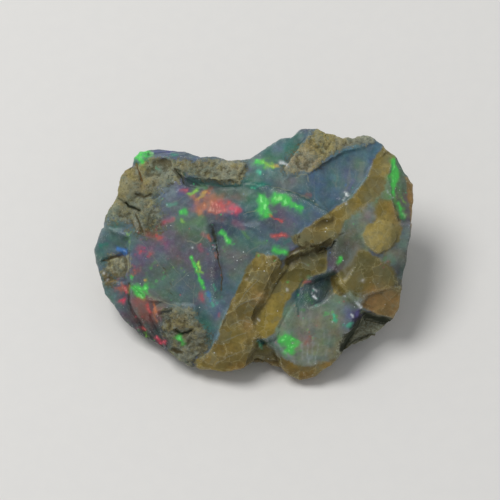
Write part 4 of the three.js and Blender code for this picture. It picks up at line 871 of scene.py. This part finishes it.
def survey(places):  # where each vertex lies on the drawn face, what it is made of, and what the face hides
    u, v, w = toFace(places).T
    stray = strayOf(places).T
    hidden = smooth(faceAt(u + stray[0], v + stray[1], np.zeros(len(u))) - w, *gem["hidden"])
    far, size = gem["hiddenWander"]
    wide = drift(places, size, (13, 14)).T
    zu, zv = u + stray[0] + far * hidden * wide[0], v + stray[1] + far * hidden * wide[1]
    crust = zoneDistance(crustEdges.values(), zu, zv)
    share, contrast, size = gem["hiddenCrust"]
    crust += hidden * (np.clip(share + contrast * lumps(places, size, 15, 3), -1.5, 1.5) - crust)
    amber = zoneDistance([edge for broken, edge in amberEdges.values()], zu, zv)
    return zu, zv, hidden, crust, amber


def addRelief(places, normals):
    zu, zv, hidden, crust, amber = survey(places)
    onCrust = smooth(-crust, -0.1, 0.3)
    onAmber = smooth(-amber, -0.1, 0.25) * (1 - onCrust)
    onOpal = 1 - onCrust - onAmber
    broken = 0.9 * hidden
    for share, edge in amberEdges.values():
        near = nearPath(edge, zu, zv, 0.5)
        inside = share * smooth(-pathDistance(edge, zu[near], zv[near], True), -0.4, 0.2)
        broken[near] = np.maximum(broken[near], inside)
    depth, size = gem["crustLumps"]
    move = onCrust * depth * lumps(places, size, 26)
    depth, size = gem["crustGrain"]
    move += onCrust * depth * lumps(places, size, 21, 4)
    depth, size = gem["crustPits"]
    move -= onCrust * depth * smooth(lumps(places, size, 27), 0.4, 0.75)
    facets = np.zeros(len(places))
    depth, size = gem["scoopBend"]
    bent = places + depth * drift(places, size, (23, 24, 25))
    for name, share, seed in (("amberScoops", onAmber * broken, 28), ("amberChips", onAmber * broken**2, 29),
                              ("opalScoops", onOpal, 30), ("opalChips", onOpal, 33)):
        depth, size = gem[name]
        bowls, number = scoops(bent, size, seed)
        move += share * depth * bowls
        if name.endswith("Scoops"):
            facets = np.where(share > 0.1, number, facets)
    depth, size = gem["fineGrain"]
    move += (1 - onCrust) * depth * lumps(places, size, 22)
    move *= smooth(places[:, 2], 0.05, 0.5)
    places = places + normals * move[:, None]
    places[:, 2] = np.maximum(places[:, 2], 0)
    return places, facets


def ridgesOf(places, normals, ends, turns, scale):  # above 0 on ridges, below 0 in hollows
    eased = places
    for turn in range(turns):
        eased = evenOut(eased, ends, 0.9)
    return np.clip(((places - eased) * normals).sum(1) / scale, -1, 1)


def paint(piece, places, normals, ends, facets):
    zu, zv, hidden, crust, amber = survey(places)
    u, v = uv = toFace(places).T[:2]
    for name, distance in (("crust", crust), ("amber", amber)):
        for pu, pv, reach in softEdges[name]:
            distance = distance * (1 - gem["softening"] * (1 - hidden) * nearness(u - pu, v - pv, reach))
        addAttribute(piece, name, distance)
    addAttribute(piece, "matrix", zoneDistance(matrixEdges.values(), zu, zv) + 3 * hidden)
    addAttribute(piece, "facet", facets)
    # how far each vertex stands out or sinks in; the finish paints shade into hollows and creases, and light
    # onto ridges, with these
    addAttribute(piece, "ridge", ridgesOf(places, normals, ends, 8, 0.045))
    addAttribute(piece, "hollow", ridgesOf(places, normals, ends, 50, 0.2))
    far, size = gem["toneDrift"]
    mixed = uv + far * drift(places, size, (16, 17), 3).T
    addAttribute(piece, "opalTone", blendTones(opalPatches, "grey lavender", *mixed))
    addAttribute(piece, "crustTone", blendTones(crustPatches, "grey tan", *mixed))
    addAttribute(piece, "amberTone", blendTones(amberPatches, "mustard", *mixed))

    ripple = drift(places, gem["ripple"], (41, 42), 3)
    swell = np.clip(0.85 + 0.7 * lumps(places, 0.8, 43), 0.4, 1.5)
    su, sv = uv + gem["lineDrift"] * ripple.T
    offset = np.full(len(u), 20.0)
    reach = np.full(len(u), 9.0)
    lineTone = np.zeros((len(u), 4))
    lines = [(width, dark, tone, path) for width, depth, dark, tone, path in seams.values()]
    lines += [(width, strength, "ash", path) for width, strength, path in paleLines.values()]
    for width, strength, tone, path in lines:
        near = np.flatnonzero(nearPath(path, su, sv, width + 0.8))
        signed, past = beside(path, su[near], sv[near])
        away = np.abs(signed) - width
        closer = away < reach[near]
        index = near[closer]
        reach[index] = away[closer]
        offset[index] = signed[closer] / width / swell[index]
        shown = strength * smooth(0.8 - away[closer], 0, 0.4) * smooth(-past[closer], -0.2, 0)
        lineTone[index] = np.column_stack([np.tile(linear(tones[tone]), (len(index), 1)), shown])
    lineTone[:, 3] *= 1 - hidden
    addAttribute(piece, "lineOffset", offset)
    addAttribute(piece, "line", lineTone)

    glowing = np.zeros(len(u))
    weights = np.full(len(u), 1e-6)
    hues = np.outer(weights, linear(fireTones["green"]))

    def addFire(index, glow, tone):
        glowing[index] = 1 - (1 - glowing[index]) * (1 - glow)
        weights[index] += glow**3
        hues[index] += np.outer(glow**3, linear(fireTones[tone]))

    fu, fv = uv + gem["fireDrift"] * ripple.T[::-1]
    for tone, strokes in fireStrokes.items():
        for au, av, bu, bv, width, strength in strokes:
            path = [(au, av), (bu, bv)]
            near = np.flatnonzero(nearPath(path, fu, fv, 4 * width))
            away = pathDistance(path, fu[near], fv[near]) / (width * swell[near])
            addFire(near, strength * 2 ** -(away**2) * (1 - hidden[near]), tone)
    random = np.random.default_rng(gem["seed"])
    for tone, clusters in fireGrains.items():
        for pu, pv, spread, count in clusters:
            near = np.flatnonzero((np.hypot(u - pu, v - pv) < 4 * spread) & (hidden < 0.5))
            for grain in range(count):
                gu, gv = random.normal((pu, pv), spread)
                size, strength = random.uniform(*gem["grainSize"]), random.uniform(*gem["grainStrength"])
                away = np.hypot(u[near] - gu, v[near] - gv)
                addFire(near, strength * 2 ** -((away / size) ** 2), tone)
    back = np.flatnonzero(hidden > 0.6)
    names = ["green", "green", "yellow green", "orange", "red", "blue", "sea green", "crimson"]
    bent = places + gem["hiddenFireDrift"] * ripple[:, (0, 1, 0)]
    clear = smooth(crust[back], -0.15, 0.25)
    for spot in random.choice(back, gem["hiddenFires"]):
        along = np.cross(normals[spot], random.normal(size=3))
        along /= np.linalg.norm(along)
        across = np.cross(normals[spot], along)
        length, width = random.uniform(*gem["fireLength"]), random.uniform(*gem["fireWidth"])
        tone, strength = names[random.integers(len(names))], random.uniform(*gem["fireStrength"])
        away = bent[back] - places[spot]
        distance = (away @ along / length) ** 2 + (away @ across / width) ** 2 + (away @ normals[spot]) ** 2
        addFire(back, strength * clear * 2**-distance, tone)
    addAttribute(piece, "fire", np.column_stack([hues / weights[:, None], glowing]))


stone = copySolid()
mesh = stone.data
print("stone copied and remeshed:", len(mesh.vertices), "vertices")
edges = readArray(mesh.edges, "vertices", 2, np.int32)
places = drawOntoFace(fillBay(readArray(mesh.vertices, "co", 3)), edges)
writePlaces(stone, places)
print("plates, chips and cracks drawn in")
places, facets = addRelief(places, readArray(mesh.vertex_normals, "vector", 3))
places = dropSpikes(places, edges)
writePlaces(stone, places)
print("lumps, facets and pits raised")
paint(stone, places, readArray(mesh.vertex_normals, "vector", 3), edges, facets)
writePlaces(stone, places * mm)
bpy.ops.object.select_all(action="DESELECT")
stone.select_set(True)
bpy.context.view_layer.objects.active = stone
bpy.ops.object.shade_smooth()
print("surface painted")


def startMaterial(name):  # the helpers below add their nodes to the newest material
    global tree
    material = bpy.data.materials.new(name)
    material.use_nodes = True
    tree = material.node_tree
    return material, tree.nodes["Principled BSDF"].inputs


def plug(sockets, values):  # links what comes from another node, and sets the rest
    for name, value in values.items():
        if isinstance(value, bpy.types.NodeSocket):
            tree.links.new(value, sockets[name])
        else:
            sockets[name].default_value = value


def makeNode(kind, inputs, **settings):
    made = tree.nodes.new("ShaderNode" + kind)
    for name, value in settings.items():
        setattr(made, name, value)
    plug(made.inputs, inputs)
    return made.outputs


def calculate(operation, a, b=0, clamp=False):
    return makeNode("Math", {0: a, 1: b}, operation=operation, use_clamp=clamp)[0]


def times(a, b):
    return calculate("MULTIPLY", a, b)


def ramp(value, low, high, start=0, end=1):
    sockets = {"Value": value, "From Min": low, "From Max": high, "To Min": start, "To Max": end}
    return makeNode("MapRange", sockets, interpolation_type="SMOOTHSTEP")[0]


def mixColour(factor, a, b, blend="MIX"):
    return makeNode("Mix", {0: factor, 6: a, 7: b}, data_type="RGBA", blend_type=blend)[2]


def mixNumber(factor, a, b):
    return makeNode("Mix", {0: factor, 2: a, 3: b}, data_type="FLOAT")[0]


def scaled(vector, factor):  # a place, or a colour made brighter or darker
    return makeNode("VectorMath", {0: vector, "Scale": factor}, operation="SCALE")[0]


def noiseAt(place, scale, detail=3, roughness=0.55, output=0):
    sockets = {"Vector": place, "Scale": scale, "Detail": detail, "Roughness": roughness}
    return makeNode("TexNoise", sockets)[output]


def cellsAt(place, scale):  # distance from the nearest cell's middle, and that cell's three random numbers
    cells = makeNode("TexVoronoi", {"Vector": place, "Scale": scale})
    return cells["Distance"], makeNode("SeparateColor", {0: cells["Color"]})


def veinsAt(place, scale, width):  # fine crooked lines between cells
    cells = makeNode("TexVoronoi", {"Vector": place, "Scale": scale}, feature="DISTANCE_TO_EDGE")
    return ramp(cells["Distance"], width * scale, 0)


def attribute(name):
    return makeNode("Attribute", {}, attribute_name=name)


def tone(name, table=tones):
    return (*linear(table[name]), 1)


# Each row lays a tone over the colour, by a share that follows a value from low to high: (value, low, high,
# share, tone) or (share, tone). A row of five numbers brightens the colour instead, from a factor to another.
def layered(colour, rows):
    for value, *limits, last in rows:
        if isinstance(last, (str, tuple)):
            share = ramp(value, *limits[:2], 0, limits[2]) if limits else value
            colour = mixColour(share, colour, tone(last) if isinstance(last, str) else last)
        else:
            colour = scaled(colour, ramp(value, *limits, last))
    return colour


def makeFinish():
    material, shader = startMaterial("rough opal")
    place = scaled(makeNode("TexCoord", {})["Object"], 1 / mm)
    streaked = makeNode("Mapping", {"Vector": place, "Rotation": (0.5, 0.3, 0.4), "Scale": (1, 0.4, 1)})[0]
    broad = noiseAt(place, 0.45)
    clouds = noiseAt(place, 0.7, 2, 0.5, "Color")
    middling = noiseAt(place, 1.9, 4, 0.6)
    fine = noiseAt(place, 4.5, 4, 0.65)
    grit = noiseAt(place, 9, 2, 0.6)
    dust = noiseAt(place, 1.5, 5, 0.7)
    veils = noiseAt(streaked, 0.9, 5, 0.6)
    sway = scaled(noiseAt(place, 1.1, 3, 0.6, "Color"), 0.9)
    swayed = makeNode("VectorMath", {0: place, 1: sway}, operation="ADD")[0]
    ridge, hollow, facet = (attribute(name)["Fac"] for name in ("ridge", "hollow", "facet"))

    # where crust, amber and matrix begin, with torn edges
    tear = calculate("SUBTRACT", calculate("ADD", fine, middling), 1)
    masks = {}
    for name, rag, softness in (("crust", 1.4, 0.22), ("amber", 0.3, 0.14), ("matrix", 0.5, 0.07)):
        distance = calculate("ADD", attribute(name)["Fac"], times(tear, rag))
        masks[name] = ramp(distance, softness, -softness)

    # opal: milky clouds with soft shifts of hue, a few pale veils, and pinpoints of fire all through it
    veil = calculate("ABSOLUTE", calculate("SUBTRACT", veils, 0.5))
    opal = mixColour(0.42, attribute("opalTone")["Color"], clouds, "OVERLAY")
    opal = layered(mixColour(1, opal, gem["opalTint"], "MULTIPLY"), [
        (middling, 0.3, 0.7, 0.93, 1.12),
        (broad, 0.5, 0.66, 0.4, "sea grey"),
        (broad, 0.5, 0.36, 0.3, "sage"),
        (times(ramp(veil, 0.03, 0, 0, 0.3), ramp(middling, 0.45, 0.6)), "milky"),
        (facet, 0, 1, 0.95, 1.05),
        (fine, 0.3, 0.7, 0.92, 1.09),
        (times(veinsAt(swayed, 0.3, 0.07), ramp(broad, 0.46, 0.56, 0, 0.3)), "milky"),
        (times(ramp(grit, 0.56, 0.72), ramp(middling, 0.42, 0.6, 0, 0.4)), "milky"),
        (ridge, 0.5, 1, 0.12, "milky"),
        # painted shade: the opal darker in its hollows
        (hollow, -0.8, 0.3, 0.75, 1),
    ])
    distance, chance = cellsAt(place, 2.2)
    ragged = calculate("ADD", distance, times(tear, 0.5))
    hue = makeNode("ValToRGB", {0: chance[1]})[0]
    stops = (("green", 0.02), ("sea green", 0.35), ("orange", 0.55), ("crimson", 0.75), ("blue", 0.92))
    for name, at in stops:
        hue.node.color_ramp.elements.new(at).color = tone(name, fireTones)
    opal = mixColour(times(times(ramp(chance[0], 0.9, 0.91), ramp(ragged, 0.26, 0.05)), 0.6), opal, hue)

    # amber potch: waxy and paler on its ridges, with painted shade making its creases and hollows browner
    distance, chance = cellsAt(swayed, 0.62)
    amber = layered(attribute("amberTone")["Color"], [(middling, 0.3, 0.7, 0.84, 1.1)])
    amber = layered(mixColour(1, amber, gem["amberTint"], "MULTIPLY"), [
        (chance[0], 0, 1, 0.88, 1.14),
        (chance[1], 0.6, 1, 0.45, "straw grey"),
        (chance[2], 0.7, 1, 0.4, "honey"),
        (facet, 0, 1, 0.92, 1.08),
        (fine, 0.3, 0.7, 0.93, 1.07),
        (noiseAt(place, 0.9, 4, 0.65), 0.5, 0.68, 0.5, "straw grey"),
        (broad, 0.5, 0.36, 0.3, "olive brown"),
        (veils, 0.56, 0.66, 0.3, "honey"),
        (times(veinsAt(swayed, 0.62, 0.06), ramp(broad, 0.4, 0.55, 0.1, 0.5)), "vein"),
        (ridge, 0.5, 1, 0.22, "vein"),
        # painted shade: browner in the creases and hollows
        (ridge, -0.4, -1, 0.35, "umber"),
        (hollow, -0.5, -1, 0.3, "umber"),
    ])

    # crust: weathered and dusty, specked in places, with painted light on its ridges and painted shade in its
    # creases
    distance, chance = cellsAt(place, 2.6)
    speck = times(ramp(distance, 0.26, 0.12), ramp(chance[0], 0.82, 0.84))
    crust = layered(attribute("crustTone")["Color"], [
        (fine, 0.32, 0.68, 0.74, 1.24),
        (dust, 0.5, 0.62, 0.5, "yellow clay"),
        (dust, 0.49, 0.38, 0.5, "teal grey"),
        (veils, 0.54, 0.64, 0.5, "ash"),
        (veils, 0.46, 0.36, 0.25, "umber"),
    ])
    crust = layered(mixColour(1, crust, gem["crustTint"], "MULTIPLY"), [
        (broad, 0.52, 0.64, 0.3, "ash"),
        # painted light and shade: brighter on the ridges, darker and browner in the creases
        (ridge, -0.9, 0.9, 0.8, 1.12),
        (ridge, -0.3, -0.9, 0.45, "umber"),
        (times(speck, 0.65), "black brown"),
        (grit, 0.56, 0.72, 0.35, gem["gritTone"]),
        (grit, 0.44, 0.3, 0.28, "umber"),
    ])
    # matrix: khaki with ash, with painted light on its ridges and painted shade in its creases
    matrix = layered(tone("khaki"), [(ramp(fine, 0.35, 0.65), "ash"), (ridge, -0.9, 0.9, 0.7, 1.3)])

    # the kinds laid over one another, with painted glints on opal and amber and painted glints along their
    # ridges, and the drawn lines on top, some of them painted shadows and highlights
    distance, chance = cellsAt(place, 3.1)
    glint = times(ramp(distance, 0.24, 0.1), ramp(chance[1], 0.97, 0.98))
    colour = layered(mixColour(masks["amber"], opal, amber), [
        (times(glint, 0.75), gem["paintedGlintTone"]),
        (times(ramp(ridge, 0.45, 0.9), ramp(grit, 0.58, 0.68, 0, 0.35)), gem["paintedRidgeGlintTone"]),
    ])
    colour = mixColour(masks["matrix"], colour, matrix)
    colour = mixColour(masks["crust"], colour, crust)
    line = attribute("line")
    wavering = calculate("ABSOLUTE", calculate("ADD", attribute("lineOffset")["Fac"], tear))
    colour = mixColour(times(ramp(wavering, 1.5, 0.4), line["Alpha"]), colour, line["Color"])

    # play of colour: a soft glow, with flickering tongues inside it
    fire = attribute("fire")
    flicker = ramp(noiseAt(streaked, 2.4, 4, 0.6), 0.3, 0.7, 0.66, 1.24)
    flickering = times(fire["Alpha"], flicker)
    tongues = times(ramp(flickering, 0.25, 0.85), 0.9)
    lit = calculate("MAXIMUM", tongues, ramp(fire["Alpha"], -0.1, 1.1, 0, 0.8))
    colour = mixColour(lit, colour, fire["Color"])
    core = mixColour(0.16, scaled(fire["Color"], 1.25), gem["coreTone"])
    colour = mixColour(ramp(flickering, 0.82, 1.15), colour, core)

    rough = mixNumber(masks["amber"], gem["opalRoughness"], gem["amberRoughness"])
    for name in ("matrix", "crust"):
        rough = mixNumber(masks[name], rough, gem["crustRoughness"])
    height = mixNumber(masks["crust"], times(fine, 0.25), times(calculate("ADD", grit, fine), 1.5))
    plug(shader, {
        "Base Color": colour,
        "Roughness": calculate("ADD", rough, ramp(fine, 0.3, 0.7, -0.08, 0.1), True),
        "Normal": makeNode("Bump", {"Height": height, "Strength": 0.8, "Distance": gem["grainBump"] * mm})[0],
        "Subsurface Weight": gem["glow"],
        "Subsurface Radius": gem["glowReach"],
        "Subsurface Scale": gem["glowDepth"] * mm,
        "IOR": gem["refraction"],
        "Specular IOR Level": gem["shine"],
    })
    return material


stone.data.materials.append(makeFinish())
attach(stone, "root")
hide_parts("opal")
print("stone finished")

studio = {  # sizes in m
    "floor": 1.2,
    "floorTone": (226, 224, 220),
    "mottle": (0.6, 0.6, 0.6, 1),
    "floorRoughness": 0.9,
    "keyPlace": (-0.19, 0.08, 0.44),
    "keySize": 0.24,
    "keyPower": 1.5,
    "skyTone": (0.95, 0.97, 1, 1),
    "skyPower": 0.4,
}


def addStudio():
    bpy.ops.mesh.primitive_plane_add(size=studio["floor"], location=(0, 0, 0))
    floor = bpy.context.object
    floor.name = "floor"
    paper, shader = startMaterial("pale paper")
    soft = noiseAt(makeNode("TexCoord", {})["Object"], 600, 4)
    pale = mixColour(ramp(soft, 0.3, 0.7, 0, 0.06), tone("floorTone", studio), studio["mottle"])
    plug(shader, {"Base Color": pale, "Roughness": studio["floorRoughness"]})
    floor.data.materials.append(paper)

    place = Vector(studio["keyPlace"])
    facing = (-place).to_track_quat("-Z", "Y").to_euler()
    bpy.ops.object.light_add(type="AREA", location=place, rotation=facing)
    key = bpy.context.object
    key.data.shape = "DISK"
    key.data.size = studio["keySize"]
    key.data.energy = studio["keyPower"]

    world = bpy.data.worlds.new("soft sky")
    world.use_nodes = True
    plug(world.node_tree.nodes["Background"].inputs, {0: studio["skyTone"], 1: studio["skyPower"]})
    bpy.context.scene.world = world
    bpy.context.scene.view_settings.view_transform = "Standard"


addStudio()
print("studio lit")
